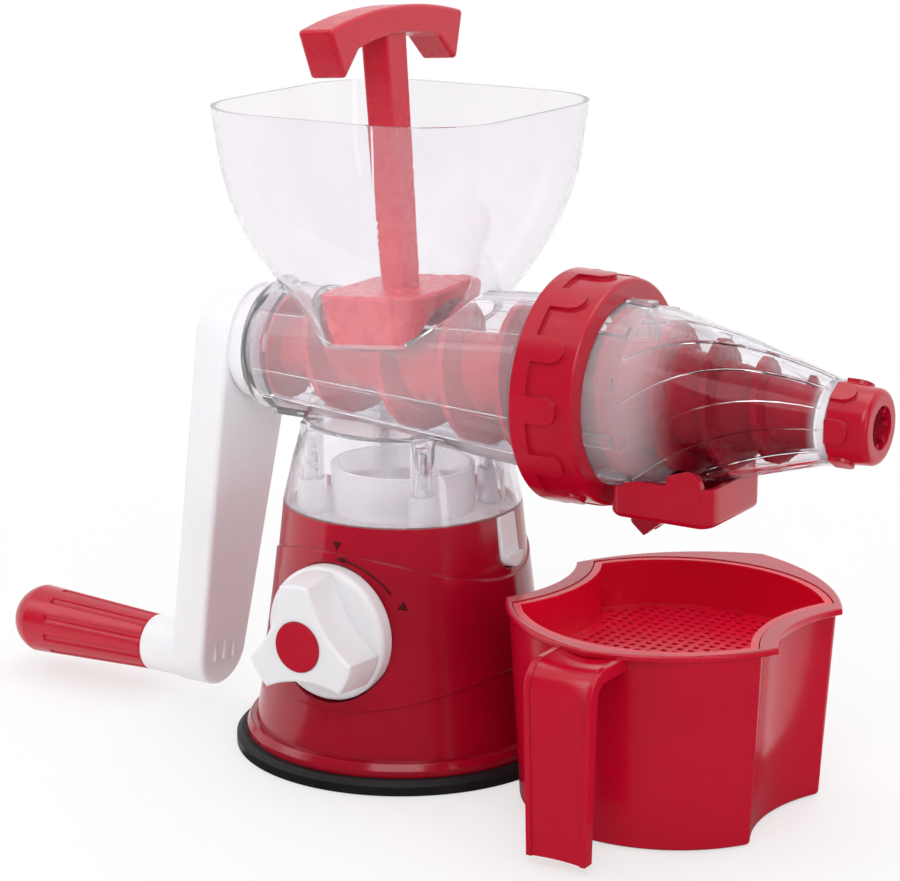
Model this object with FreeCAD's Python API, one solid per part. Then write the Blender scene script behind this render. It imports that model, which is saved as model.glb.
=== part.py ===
import FreeCAD, Part
import math
import os

# Hand-cranked auger mill with a suction base, a hopper, a straining cone and a juice cup.
# Millimetres, +Z up. The origin is the centre of the suction pad's underside.
# The auger axis runs along X, the crank is at -X, the outlet at +X, the suction knob faces -Y.

V = FreeCAD.Vector

# Overall places
auger_rise = 54.0
knob_axis_drop = 41.0
cup_gap = 11.5

# Clearances
running_gap = 0.05
screw_gap = 0.05
slide_gap = 0.3
overlap = 1.0
tolerance = 0.01

# Suction pad, base plate and plunger
pad_radius = 66.0
pad_edge_height = 3.5
pad_height = 5.5
pad_floor = 4.0
pad_edge_draft = 2.0
plate_thickness = 3.0
plate_screw_count = 3
plate_screw_inset = 11.8
plate_opening_margin = 2.0
cheek_width = 24.0
cheek_thickness = 4.0
cheek_gap = 16.0
cheek_foot_margin = 8.0
suction_lift = 4.0
plunger_depth = 14.0
plunger_half_width = 16.0
plunger_margin = 4.0

# Base housing
housing_pad_reveal = 4.2
housing_lip_top_z = 10.6
housing_lip_edge = 2.5
housing_lip_draft = 1.4
housing_foot_step = 3.8
housing_waist_step = 5.4
housing_waist_share = 0.405
housing_top_step = 6.2
housing_top_z = 98.0
housing_wall = 2.6
deck_drop = 6.0
deck_thickness = 2.5
deck_hole_radius = 20.0
band_height = 0.7
band_crest_margin = 4.4
band_crest_radius = 100.0
band_sag_margin = 3.0
band_sag_radius = 130.0

# Suction knob and cam
knob_pocket_depth = 5.1
knob_pocket_floor = 3.0
knob_pocket_gap = 0.6
knob_flange_radius = 26.0
knob_flange_thickness = 7.0
knob_stand_out = 24.5
knob_lobe_inset = 1.0
knob_waist_radius = 14.5
knob_lobe_count = 3
knob_lobe_half_angle = 16.0
knob_first_lobe_angle = 95.0
knob_draft = 1.5
knob_edge_round = 1.5
knob_flange_round = 2.6
knob_cap_radius = 9.8
knob_cap_thickness = 2.0
knob_cap_crown = 0.4
knob_screw_web = 2.0
cam_shaft_radius = 5.0
cam_disc_radius = 9.0
cam_disc_width = 10.0
cam_clearance = 0.25
cam_shaft_tail = 1.5
knob_spigot_radius = 7.0

# Screws
screw_radius = 2.0
screw_head_radius = 3.8
screw_head_height = 2.2
screw_reach = 12.0
screw_hole_end = 2.0
screw_post_height = 16.0

# Release latch
latch_width = 10.8
latch_height = 20.0
latch_thickness = 3.0
latch_lip = 2.0
latch_lip_height = 5.0
latch_gap = 0.8
latch_lean = 8.0
latch_pin_radius = 1.2
latch_pin_height = 10.5
latch_ear_thickness = 3.0
latch_ear_depth = 8.0

# Clear head: skirt, barrel and collar
skirt_shoulder_step = 3.9
skirt_shoulder_rise = 17.0
skirt_top_step = 4.5
skirt_top_drop = 21.0
skirt_wall = 2.2
keel_half_width = 15.0
keel_thickness = 3.0
keel_rear_inset = 9.0
keel_front_inset = 2.0
post_inset = 17.5
post_radius = 4.6
post_bottom_rise = 10.0
barrel_rear_x = -59.0
barrel_rear_wall = 4.0
barrel_rear_radius = 23.9
barrel_front_x = 68.0
barrel_front_radius = 33.6
barrel_wall = 2.5
barrel_rib_height = 0.7
barrel_rib_width = 1.2
barrel_rib_count = 12
rear_flange_height = 1.9
rear_flange_width = 11.0
rear_flange_round = 2.0
rear_flange_step = 1.0
collar_width = 22.0
collar_step = 2.4
collar_wall = 2.8
lug_count = 4
lug_half_angle = 13.0
lug_setback = 9.7
lug_width = 4.0

# Adapter plate under the head
adapter_thickness = 2.5
adapter_ring_gap = 2.75
adapter_ring_rise = 14.0
adapter_ring_wall = 2.0
adapter_boss_radius = 5.6
adapter_hole_inset = 12.0

# Drive shaft, bush and seal
shaft_radius = 6.0
shaft_hex_share = 1.5
shaft_reach = 20.0
shaft_end_gap = 2.0
bush_wall = 3.0
bush_flange_height = 2.5
bush_flange_thickness = 1.2
seal_margin = 0.5
seal_thickness = 1.4

# Auger
auger_rear_inset = 7.0
auger_disc_width = 3.5
auger_front_inset = 6.9
flight_gap = 1.0
flight_depth_rear = 9.0
flight_depth_mid = 13.0
flight_depth_front = 3.2
flight_root_width = 5.5
flight_tip_width = 2.6
flight_end_pitch = 16.0
flight_extra_pitch = 26.0
flight_pitch_decay = 0.35
flight_start_angle = -90.0
flight_steps_per_turn = 20
flight_root_sink = 1.2

# Lock ring
ring_overhang_rear = 16.5
ring_overhang_front = 8.0
ring_wall = 2.8
ring_band_height = 1.4
ring_band_width = 6.5
ring_cavity_depth = 3.2
ring_front_wall = 3.0
ring_tongue_count = 12
ring_tongue_width = 10.0
ring_tongue_length = 12.5
ring_edge_round = 1.4
ring_turn_room = 0.4

# Strainer cone
cone_seal_width = 1.2
cone_flange_width = 3.5
cone_flange_room = 0.8
cone_collar_step = 2.0
cone_collar_length = 17.8
cone_shoulder_step = 1.0
cone_mid_length = 36.0
cone_mid_step = 8.2
cone_front_length = 37.9
cone_front_radius = 14.5
cone_wall = 2.0
cone_neck_step = 3.5
cone_neck_length = 8.1
cone_neck_wall = 2.2
cone_rib_count = 12
cone_rib_height = 0.9
cone_rib_width = 1.1
cone_rib_twist = 55.0
cone_rib_steps = 10
cone_rib_margin = 2.0
cone_slot_count = 7
cone_slot_width = 1.8
cone_slot_pitch = 4.2
cone_slot_margin = 6.0
cone_lug_count = 10
cone_lug_width = 5.0
cone_lug_height = 0.8
cone_seal_margin = 1.0

# Outlet cap
cap_rear_gap = 0.4
cap_length = 15.2
cap_rear_step = 0.1
cap_draft = 0.9
cap_edge_round = 2.6
cap_hole_step = 3.1
cap_front_wall = 6.5
cap_tooth_count = 8
cap_tooth_height = 1.6
cap_tooth_width = 2.2
cap_tab_count = 6
cap_tab_turn = 30.0
cap_tab_width = 8.5
cap_tab_length = 8.5
cap_tab_height = 0.7
cap_tab_sink = 1.5

# Juice spout under the cone
spout_setback = 7.0
spout_length = 42.0
spout_half_width = 20.5
spout_drop = 7.0
spout_height = 15.0
spout_corner = 6.0
spout_bottom_round = 3.0
spout_wall = 2.0
spout_cone_gap = 0.3
spout_nozzle_inset = 7.0
spout_nozzle_half_length = 6.2
spout_nozzle_shoulder = 5.0
spout_nozzle_drop = 10.2
spout_nozzle_bore = 3.0
spout_nozzle_wall = 3.0
spout_nozzle_corner = 2.0
spout_lug_inset = 31.5
spout_lug_radius = 7.2
spout_lug_drop = 0.5
spout_lug_stand_out = 2.5

# Hopper
hopper_rise = 99.4
hopper_rim_height = 13.0
hopper_top_half = 60.7
hopper_rim_step = 1.5
hopper_wall = 2.0
hopper_corner_share = 0.56
hopper_shoulder_drop = 35.4
hopper_shoulder_step = 4.1
hopper_belly_drop = 51.4
hopper_belly_step = 6.3
hopper_throat_rise = 32.0
hopper_throat_step = 9.3
hopper_neck_rise = 8.0
hopper_neck_half_x = 23.5
hopper_neck_half_y = 26.5
hopper_neck_corner = 9.0
hopper_saddle_gap = 0.3

# Pusher
pusher_lean = 4.3
pusher_pivot_rise = 20.0
pusher_foot_gap_x = 1.5
pusher_foot_gap_y = 1.2
pusher_foot_corner = 7.0
pusher_foot_flare = 3.5
pusher_foot_round = 1.5
pusher_edge_round = 1.6
pusher_foot_bottom_rise = 10.0
pusher_foot_top_rise = 30.0
pusher_saddle_gap = 0.5
pusher_stem_half_x = 6.0
pusher_stem_half_y = 7.2
pusher_stem_taper = 0.8
pusher_stem_corner = 1.5
pusher_handle_half_length = 45.0
pusher_handle_width = 15.2
pusher_crown_rise = 35.6
pusher_crown_radius = 194.0
pusher_crown_thickness = 10.4
pusher_arch_radius = 111.0
pusher_end_drop = 19.0
pusher_end_tilt = 20.0
pusher_heel = 11.0

# Crank
crank_lean = 6.75
crank_swing = 3.9
crank_stand_off = 7.0
crank_thickness = 15.0
crank_head_margin = 1.5
crank_end_radius = 15.0
crank_end_rise = 3.0
crank_elbow_radius = 13.0
crank_edge_round = 2.0
crank_hub_step = 1.9
crank_hub_gap = 0.4
crank_boss_reach = 50.0
crank_bar_count = 3
crank_bar_pitch = 6.0
crank_bar_width = 2.0
crank_bar_length = 9.5
crank_bar_relief = 0.5
crank_bar_rise = 4.0
crank_cap_radius = 8.0
crank_cap_thickness = 2.0
crank_screw_length = 16.0

# Grip
grip_axis_z = 20.5
grip_inner_radius = 11.5
grip_flare = 2.7
grip_length = 71.5
grip_dome = 11.5
grip_edge = 0.8
grip_flute_count = 10
grip_flute_radius = 2.2
grip_flute_depth = 0.9
grip_flute_end = 22.0
grip_pin_radius = 4.0
grip_pin_head_radius = 5.6
grip_pin_head_length = 4.0
grip_end_wall = 12.0

# Juice cup
cup_height = 75.0
cup_draft = 4.6
cup_top_radius = 60.5
cup_corner_round = 2.5
cup_bottom_round = 1.5
cup_wall = 2.2
cup_floor = 2.5
cup_notch_stand_off = 45.5
cup_notch_bottom_radius = 65.0
cup_notch_draft = 2.8
cup_flange_thickness = 2.6
cup_flange_round = 0.8
cup_flange_overhang = 1.5
cup_flange_front_point = 3.5
cup_flange_back_point = 13.0
cup_flange_back_bow = 3.5
cup_flange_notch_step = 5.5
cup_ledge_width = 1.1
cup_ledge_depth = 2.4
cup_handle_top_half = 13.6
cup_handle_bottom_half = 11.8
cup_handle_stand_off = 17.0
cup_handle_drop = 4.0
cup_handle_bottom_z = 3.0
cup_handle_web = 2.4
cup_handle_edge = 2.6
cup_handle_edge_width = 2.2
cup_handle_bend = 8.0

# Sieve insert
sieve_depth = 20.0
sieve_wall = 1.8
sieve_gap = 0.35
sieve_lip_gap = 0.3
sieve_hole_pitch = 4.4
sieve_hole_size = 2.3
sieve_edge_margin = 5.0


# Worked out: base
auger_axis_z = housing_top_z + auger_rise
knob_axis_z = housing_top_z - knob_axis_drop
housing_lip_radius = pad_radius - housing_pad_reveal
housing_foot_radius = housing_lip_radius - housing_foot_step
housing_waist_radius = housing_foot_radius - housing_waist_step
housing_waist_z = housing_lip_top_z + housing_waist_share * (housing_top_z - housing_lip_top_z)
housing_top_radius = housing_waist_radius - housing_top_step
deck_z = housing_top_z - deck_drop
plate_screw_circle = housing_lip_radius - plate_screw_inset
band_crest_z = knob_axis_z + knob_flange_radius + band_crest_margin
band_sag_z = knob_axis_z - knob_flange_radius - band_sag_margin
knob_pocket_y = knob_pocket_depth - housing_waist_radius
knob_front_y = knob_pocket_y - knob_stand_out
knob_lobe_radius = knob_flange_radius - knob_lobe_inset
cheek_inner_y = cheek_gap / 2
plate_bottom_z = pad_height
plate_top_z = plate_bottom_z + plate_thickness
cam_offset = suction_lift / 2
plunger_opening = plunger_half_width + slide_gap + plate_opening_margin

# Worked out: head and shaft
skirt_shoulder_radius = housing_top_radius - skirt_shoulder_step
skirt_shoulder_z = housing_top_z + skirt_shoulder_rise
skirt_top_radius = skirt_shoulder_radius - skirt_top_step
skirt_top_z = auger_axis_z - skirt_top_drop
post_spacing = skirt_shoulder_radius - post_inset
post_bottom_z = housing_top_z + post_bottom_rise
adapter_ring_radius = post_spacing * math.sqrt(2) - post_radius - adapter_ring_gap
adapter_ring_top_z = housing_top_z + adapter_ring_rise
adapter_hole_radius = adapter_ring_radius - adapter_hole_inset
keel_rear_x = barrel_rear_x + keel_rear_inset
keel_front_x = barrel_front_x - keel_front_inset
rear_flange_radius = barrel_rear_radius + rear_flange_height
collar_front_x = barrel_front_x + collar_width
collar_radius = barrel_front_radius + collar_step
collar_bore = collar_radius - collar_wall
lug_rear_x = collar_front_x - lug_setback
bush_radius = shaft_radius + bush_wall
bush_flange_radius = bush_radius + bush_flange_height
seal_radius = bush_flange_radius + seal_margin
auger_rear_x = barrel_rear_x + auger_rear_inset
shaft_front_x = auger_rear_x + shaft_reach
shaft_hex_flats = shaft_hex_share * shaft_radius

# Worked out: lock ring, cone, cap and spout
ring_rear_x = collar_front_x - ring_overhang_rear
ring_front_x = collar_front_x + ring_overhang_front
ring_cavity_radius = collar_radius + ring_cavity_depth
ring_radius = ring_cavity_radius + ring_wall
ring_band_radius = ring_radius + ring_band_height
cone_flange_rear_x = collar_front_x + cone_seal_width
cone_flange_radius = ring_cavity_radius - cone_flange_room
cone_collar_radius = collar_radius - cone_collar_step
cone_collar_front_x = cone_flange_rear_x + cone_collar_length
cone_shoulder_radius = cone_collar_radius - cone_shoulder_step
cone_mid_x = cone_collar_front_x + cone_mid_length
cone_mid_radius = cone_shoulder_radius - cone_mid_step
cone_front_x = cone_mid_x + cone_front_length
cone_neck_radius = cone_front_radius - cone_neck_step
cone_neck_front_x = cone_front_x + cone_neck_length
cone_neck_bore = cone_neck_radius - cone_neck_wall
cone_seal_radius = collar_radius + cone_seal_margin
auger_front_x = cone_front_x - auger_front_inset
cap_rear_x = cone_front_x + cap_rear_gap
cap_front_x = cap_rear_x + cap_length
cap_rear_radius = cone_front_radius + cap_rear_step
cap_front_radius = cap_rear_radius - cap_draft
cap_hole_radius = cone_neck_radius - cap_hole_step
spout_rear_x = cone_collar_front_x - spout_setback
spout_front_x = spout_rear_x + spout_length
spout_bottom_z = auger_axis_z - cone_collar_radius - spout_drop
spout_top_z = spout_bottom_z + spout_height
spout_nozzle_x = spout_rear_x + spout_nozzle_inset
spout_nozzle_bottom_z = spout_bottom_z - spout_nozzle_drop
spout_lug_x = spout_rear_x + spout_lug_inset
spout_lug_z = spout_top_z - spout_lug_drop

# Worked out: hopper and pusher
hopper_top_z = auger_axis_z + hopper_rise
hopper_rim_half = hopper_top_half - hopper_rim_step
hopper_shoulder_z = hopper_top_z - hopper_shoulder_drop
hopper_shoulder_half = hopper_rim_half - hopper_shoulder_step
hopper_belly_z = hopper_top_z - hopper_belly_drop
hopper_belly_half = hopper_shoulder_half - hopper_belly_step
hopper_throat_z = auger_axis_z + hopper_throat_rise
hopper_throat_half = hopper_belly_half - hopper_throat_step
hopper_neck_z = auger_axis_z + hopper_neck_rise
pusher_pivot_z = auger_axis_z + pusher_pivot_rise
pusher_foot_half_x = hopper_neck_half_x - hopper_wall - pusher_foot_gap_x
pusher_foot_half_y = hopper_neck_half_y - hopper_wall - pusher_foot_gap_y
pusher_foot_bottom_z = auger_axis_z + pusher_foot_bottom_rise
pusher_foot_top_z = auger_axis_z + pusher_foot_top_rise
pusher_crown_z = hopper_top_z + pusher_crown_rise
pusher_arch_z = pusher_crown_z - pusher_crown_thickness

# Worked out: crank and grip
crank_inner_x = barrel_rear_x - crank_stand_off
crank_hub_radius = barrel_rear_radius - crank_hub_step
crank_head_radius = crank_hub_radius + crank_head_margin
crank_boss_end_x = crank_inner_x - crank_boss_reach
grip_outer_radius = grip_inner_radius + grip_flare
crank_drop = math.tan(math.radians(crank_lean))
crank_outer_x = crank_inner_x - crank_thickness
grip_start_x = crank_boss_end_x - slide_gap
grip_end_x = grip_start_x - grip_length
crank_end_z = grip_axis_z + crank_end_rise

# Worked out: cup and sieve
cup_bottom_radius = cup_top_radius - cup_draft
cup_notch_distance = cup_top_radius + cup_notch_stand_off
cup_notch_top_radius = cup_notch_bottom_radius - cup_notch_draft
cup_flange_radius = cup_top_radius + cup_flange_overhang
cup_flange_front = cup_flange_radius + cup_flange_front_point
cup_flange_back = cup_flange_radius + cup_flange_back_point
cup_flange_notch_radius = cup_notch_top_radius - cup_flange_notch_step
cup_centre_x = pad_radius + cup_gap + cup_notch_distance - cup_notch_bottom_radius
cup_handle_y = -cup_flange_front - cup_handle_stand_off
cup_handle_top_z = cup_height - cup_handle_drop
sieve_floor_z = cup_height - sieve_depth

# Worked out: middle of a quarter arc, as a share of its radius
arc_bow = 1 - math.sqrt(0.5)


# Building helpers
def about_z(radius, height):
    return V(radius, 0, height)


def about_x(along, radius):
    return V(along, 0, auger_axis_z + radius)


def outline(place, start, *steps):
    """Closed wire. A step is an end point, or a pair of a middle and an end point for an arc."""
    here = place(*start)
    edges = []
    for step in list(steps) + [start]:
        if isinstance(step[0], tuple):
            middle = place(*step[0])
            end = place(*step[1])
            edges.append(Part.Arc(here, middle, end).toShape())
        else:
            end = place(*step)
            if end.distanceToPoint(here) < 1e-6:
                continue
            edges.append(Part.makeLine(here, end))
        here = end
    return Part.Wire(edges)


def spin_z(start, *steps):
    face = Part.Face(outline(about_z, start, *steps))
    return face.revolve(V(0, 0, 0), V(0, 0, 1), 360)


def spin_x(start, *steps):
    face = Part.Face(outline(about_x, start, *steps))
    return face.revolve(V(0, 0, auger_axis_z), V(1, 0, 0), 360)


def rod_x(radius, x_from, x_to, y=0.0, z=auger_axis_z):
    return Part.makeCylinder(radius, abs(x_to - x_from), V(min(x_from, x_to), y, z), V(1, 0, 0))


def rod_y(radius, y_from, y_to, x=0.0, z=knob_axis_z):
    return Part.makeCylinder(radius, abs(y_to - y_from), V(x, min(y_from, y_to), z), V(0, 1, 0))


def rod_z(radius, z_from, z_to, x=0.0, y=0.0):
    return Part.makeCylinder(radius, abs(z_to - z_from), V(x, y, min(z_from, z_to)), V(0, 0, 1))


def block(x_from, x_to, y_from, y_to, z_from, z_to):
    return Part.makeBox(x_to - x_from, y_to - y_from, z_to - z_from, V(x_from, y_from, z_from))


def rounded_rectangle(half_x, half_y, corner, z, centre_x=0.0):
    """Horizontal wire with four corner arcs."""
    def place(x, y):
        return V(centre_x + x, y, z)

    bow = corner * arc_bow
    return outline(
        place,
        (half_x, -half_y + corner),
        (half_x, half_y - corner),
        ((half_x - bow, half_y - bow), (half_x - corner, half_y)),
        (-half_x + corner, half_y),
        ((-half_x + bow, half_y - bow), (-half_x, half_y - corner)),
        (-half_x, -half_y + corner),
        ((-half_x + bow, -half_y + bow), (-half_x + corner, -half_y)),
        (half_x - corner, -half_y),
        ((half_x - bow, -half_y + bow), (half_x, -half_y + corner)),
    )


def turned_x(shape, angle):
    copy = shape.copy()
    copy.rotate(V(0, 0, auger_axis_z), V(1, 0, 0), angle)
    return copy


def ring_of(shape, count, first=0.0):
    """Copies of a shape spaced evenly about the auger axis."""
    return [turned_x(shape, first + 360.0 * index / count) for index in range(count)]


def between(value, points):
    """Straight-line reading of a list of (place, size) pairs."""
    for (x_a, y_a), (x_b, y_b) in zip(points, points[1:]):
        if value <= x_b:
            break
    return y_a + (y_b - y_a) * (value - x_a) / (x_b - x_a)


def circle_through(first, second, third):
    """Centre and radius of the circle through three points."""
    curve = Part.Circle(V(*first, 0), V(*second, 0), V(*third, 0))
    return curve.Center, curve.Radius


def edges_where(shape, test):
    """Edges whose ends and middle all pass a test of a point."""
    found = []
    for edge in shape.Edges:
        first, last = edge.ParameterRange
        points = [edge.valueAt(first + (last - first) * share) for share in (0.0, 0.3, 0.5, 1.0)]
        if all(test(point) for point in points):
            found.append(edge)
    return found


def edges_at_height(shape, z):
    return edges_where(shape, lambda point: abs(point.z - z) < tolerance)


def edges_at_depth(shape, y):
    return edges_where(shape, lambda point: abs(point.y - y) < tolerance)


def save(name, *shapes):
    shape = shapes[0] if len(shapes) == 1 else Part.makeCompound(list(shapes))
    shape.exportStep("parts/" + name + ".step")


# Base housing
housing_curve = circle_through(
    (housing_foot_radius, housing_lip_top_z),
    (housing_waist_radius, housing_waist_z),
    (housing_top_radius, housing_top_z),
)


def housing_radius(z):
    centre, radius = housing_curve
    return centre.x - math.sqrt(radius ** 2 - (z - centre.y) ** 2)


def housing_body(inset):
    """Solid of the housing's outer form, drawn in by an inset."""
    middle_z = (housing_lip_top_z + housing_top_z) / 2
    lip_step = housing_lip_radius - housing_lip_draft
    return spin_z(
        (0, plate_bottom_z),
        (housing_lip_radius - inset, plate_bottom_z),
        (housing_lip_radius - inset, plate_bottom_z + housing_lip_edge),
        (lip_step - inset, housing_lip_top_z),
        (housing_radius(housing_lip_top_z) - inset, housing_lip_top_z),
        (
            (housing_radius(middle_z) - inset, middle_z),
            (housing_top_radius - inset, housing_top_z),
        ),
        (0, housing_top_z),
    )


def raised_band():
    """Proud band round the housing, which swells above and below the knob."""
    reach = housing_lip_radius
    rise = band_crest_radius - math.sqrt(band_crest_radius ** 2 - reach ** 2)
    sag = band_sag_radius - math.sqrt(band_sag_radius ** 2 - reach ** 2)

    def place(x, z):
        return V(x, -2 * reach, z)

    eye = outline(
        place,
        (-reach, band_crest_z - rise),
        ((0, band_crest_z), (reach, band_crest_z - rise)),
        (reach, band_sag_z + sag),
        ((0, band_sag_z), (-reach, band_sag_z + sag)),
    )
    prism = Part.Face(eye).extrude(V(0, 4 * reach, 0))
    skin = housing_body(-band_height).cut(housing_body(housing_wall / 2))
    return skin.common(prism)


def latch_slot(side_gap, depth_from, depth_to):
    """Latch outline as a prism, standing on the housing's slope before it is leaned."""
    half = latch_width / 2 + side_gap
    bottom = -latch_height - side_gap

    def place(y, z):
        return V(depth_from, y, z)

    face = Part.Face(outline(
        place,
        (-half, 0),
        (-half, bottom + half),
        ((0, bottom), (half, bottom + half)),
        (half, 0),
    ))
    return face.extrude(V(depth_to - depth_from, 0, 0))


def on_latch(shape):
    """Leans a latch piece to the housing's slope and sets it at the rim on the +X side."""
    copy = shape.copy()
    copy.rotate(V(0, 0, 0), V(0, 1, 0), -latch_lean)
    copy.translate(V(housing_top_radius + band_height, 0, housing_top_z))
    return copy


def latch_pin_axis():
    return V(-latch_thickness - latch_pin_radius * 2, 0, -latch_pin_height)


def plate_screw_places():
    turns = [math.radians(90 + 360.0 * index / plate_screw_count) for index in range(plate_screw_count)]
    return [(plate_screw_circle * math.cos(turn), plate_screw_circle * math.sin(turn)) for turn in turns]


def base_housing():
    shell = housing_body(0).fuse(raised_band())
    cavity = housing_body(housing_wall)
    reach = 2 * pad_radius
    lower = block(-reach, reach, -reach, reach, 0, deck_z - deck_thickness)
    upper = block(-reach, reach, -reach, reach, deck_z, 2 * housing_top_z)
    shell = shell.cut(cavity.common(lower)).cut(cavity.common(upper))
    shell = shell.cut(rod_z(deck_hole_radius, deck_z - 2 * deck_thickness, deck_z + deck_thickness))
    pocket_radius = knob_flange_radius + knob_pocket_gap
    pad_radius_y = pocket_radius + housing_wall
    floor = rod_y(pad_radius_y, knob_pocket_y + knob_pocket_floor, -housing_lip_radius)
    shell = shell.fuse(floor.common(housing_body(housing_wall / 2)))
    shell = shell.cut(rod_y(pocket_radius, knob_pocket_y, -2 * housing_lip_radius))
    shell = shell.cut(rod_y(knob_spigot_radius + slide_gap, 0, -housing_lip_radius))
    for x, y in plate_screw_places():
        post = rod_z(2 * screw_head_radius, plate_top_z, plate_top_z + screw_post_height, x, y)
        shell = shell.fuse(post.common(housing_body(housing_wall / 2)))
        hole_top = plate_top_z + screw_reach + screw_hole_end
        shell = shell.cut(rod_z(screw_radius + screw_gap, plate_top_z, hole_top, x, y))
    pin = latch_pin_axis()
    ear_y = latch_width / 2 + latch_gap
    ear_root = latch_slot(latch_ear_thickness + latch_gap, -latch_ear_depth, -housing_wall / 2)
    shell = shell.fuse(on_latch(ear_root).common(housing_body(housing_wall / 2)))
    shell = shell.cut(on_latch(latch_slot(latch_gap, -3 * latch_ear_depth, latch_ear_depth)))
    pin_reach = ear_y + latch_ear_thickness
    bore = rod_y(latch_pin_radius + running_gap, -pin_reach, pin_reach, pin.x, pin.z)
    return shell.cut(on_latch(bore))


def release_latch():
    plate = latch_slot(0, -latch_thickness, 0)
    lip_root = latch_slot(0, -latch_thickness / 2, latch_lip)
    lip_zone = block(-latch_thickness, 2 * latch_lip, -latch_width, latch_width,
                     -2 * latch_height, latch_lip_height - latch_height)
    plate = plate.fuse(lip_root.common(lip_zone))
    pin = latch_pin_axis()
    knuckle_radius = 2 * latch_pin_radius
    half = latch_width / 2
    knuckle = rod_y(knuckle_radius, -half, half, pin.x, pin.z)
    neck = block(pin.x, -latch_thickness / 2, -half, half, pin.z - knuckle_radius, pin.z + knuckle_radius)
    plate = plate.fuse(neck).fuse(knuckle)
    bore = rod_y(latch_pin_radius + running_gap, -latch_width, latch_width, pin.x, pin.z)
    return on_latch(plate.cut(bore))


def latch_pin():
    pin = latch_pin_axis()
    reach = latch_width / 2 + latch_gap + latch_ear_thickness / 2
    return on_latch(rod_y(latch_pin_radius, -reach, reach, pin.x, pin.z))


# Suction pad, base plate, plunger and cam
def suction_pad():
    return spin_z(
        (0, 0),
        (pad_radius, 0),
        (pad_radius, pad_edge_height),
        (pad_radius - pad_edge_draft, pad_height),
        (plunger_opening, pad_height),
        (plunger_opening, pad_floor),
        (0, pad_floor),
    )


def base_plate():
    plate_radius = housing_lip_radius - housing_wall - slide_gap
    plate = rod_z(plate_radius, plate_bottom_z, plate_top_z)
    plate = plate.cut(rod_z(plunger_opening, 0, plate_top_z + overlap))
    foot_half = plunger_half_width + cheek_foot_margin
    for side in (-1, 1):
        y_near = side * cheek_inner_y
        y_far = side * (cheek_inner_y + cheek_thickness)
        low = min(y_near, y_far)
        high = max(y_near, y_far)
        upright = block(-foot_half, foot_half, low, high, plate_bottom_z, plate_top_z)
        web = Part.makePolygon([
            V(-foot_half, low, plate_top_z),
            V(foot_half, low, plate_top_z),
            V(cheek_width / 2, low, knob_axis_z),
            V(-cheek_width / 2, low, knob_axis_z),
            V(-foot_half, low, plate_top_z),
        ])
        cheek = Part.Face(web).extrude(V(0, high - low, 0))
        cheek = cheek.fuse(rod_y(cheek_width / 2, low, high))
        plate = plate.fuse(upright).fuse(cheek)
        plate = plate.cut(rod_y(cam_shaft_radius + running_gap, low - overlap, high + overlap))
    for x, y in plate_screw_places():
        plate = plate.cut(rod_z(screw_radius + screw_gap, 0, plate_top_z + overlap, x, y))
        plate = plate.cut(rod_z(screw_head_radius + slide_gap, 0, plate_bottom_z + screw_head_height, x, y))
    return plate


def plate_screws():
    screws = []
    for x, y in plate_screw_places():
        head = rod_z(screw_head_radius, plate_bottom_z, plate_bottom_z + screw_head_height, x, y)
        screws.append(head.fuse(rod_z(screw_radius, plate_bottom_z, plate_top_z + screw_reach, x, y)))
    return screws


def suction_plunger():
    """Yoke that the cam lifts, standing on the pad's centre."""
    half_y = plunger_depth / 2
    window_z = knob_axis_z - cam_offset
    window_half = cam_disc_radius + cam_clearance
    window_reach = cam_disc_radius + cam_offset * math.sqrt(2) + 2 * cam_clearance
    top_z = window_z + window_half + plunger_margin
    yoke = block(-plunger_half_width, plunger_half_width, -half_y, half_y, pad_floor, top_z)
    return yoke.cut(block(-window_reach, window_reach, -half_y - overlap, half_y + overlap,
                          window_z - window_half, window_z + window_half))


def cam_shaft():
    """Shaft behind the knob, with an eccentric disc inside the plunger's window."""
    rear_y = cheek_inner_y + cheek_thickness + cam_shaft_tail
    shaft = rod_y(cam_shaft_radius, knob_pocket_y - knob_flange_thickness, rear_y)
    disc = rod_y(cam_disc_radius, -cam_disc_width / 2, cam_disc_width / 2,
                 -cam_offset, knob_axis_z - cam_offset)
    hole_end = knob_pocket_y + screw_reach + screw_hole_end
    tapped = rod_y(screw_radius + screw_gap, knob_pocket_y - knob_flange_thickness, hole_end)
    return shaft.fuse(disc).cut(tapped)


def knob_outline(shrink, y):
    """Three lobes with hollow flanks."""
    lobe = knob_lobe_radius - shrink
    waist = knob_waist_radius - shrink / 2

    def place(radius, angle):
        bearing = math.radians(angle)
        return V(radius * math.cos(bearing), y, knob_axis_z + radius * math.sin(bearing))

    steps = []
    turn = 360.0 / knob_lobe_count
    for index in range(knob_lobe_count):
        middle = knob_first_lobe_angle + turn * index
        steps.append(((lobe, middle), (lobe, middle + knob_lobe_half_angle)))
        steps.append(((waist, middle + turn / 2), (lobe, middle + turn - knob_lobe_half_angle)))
    return outline(place, (lobe, knob_first_lobe_angle - knob_lobe_half_angle), *steps)


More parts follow.
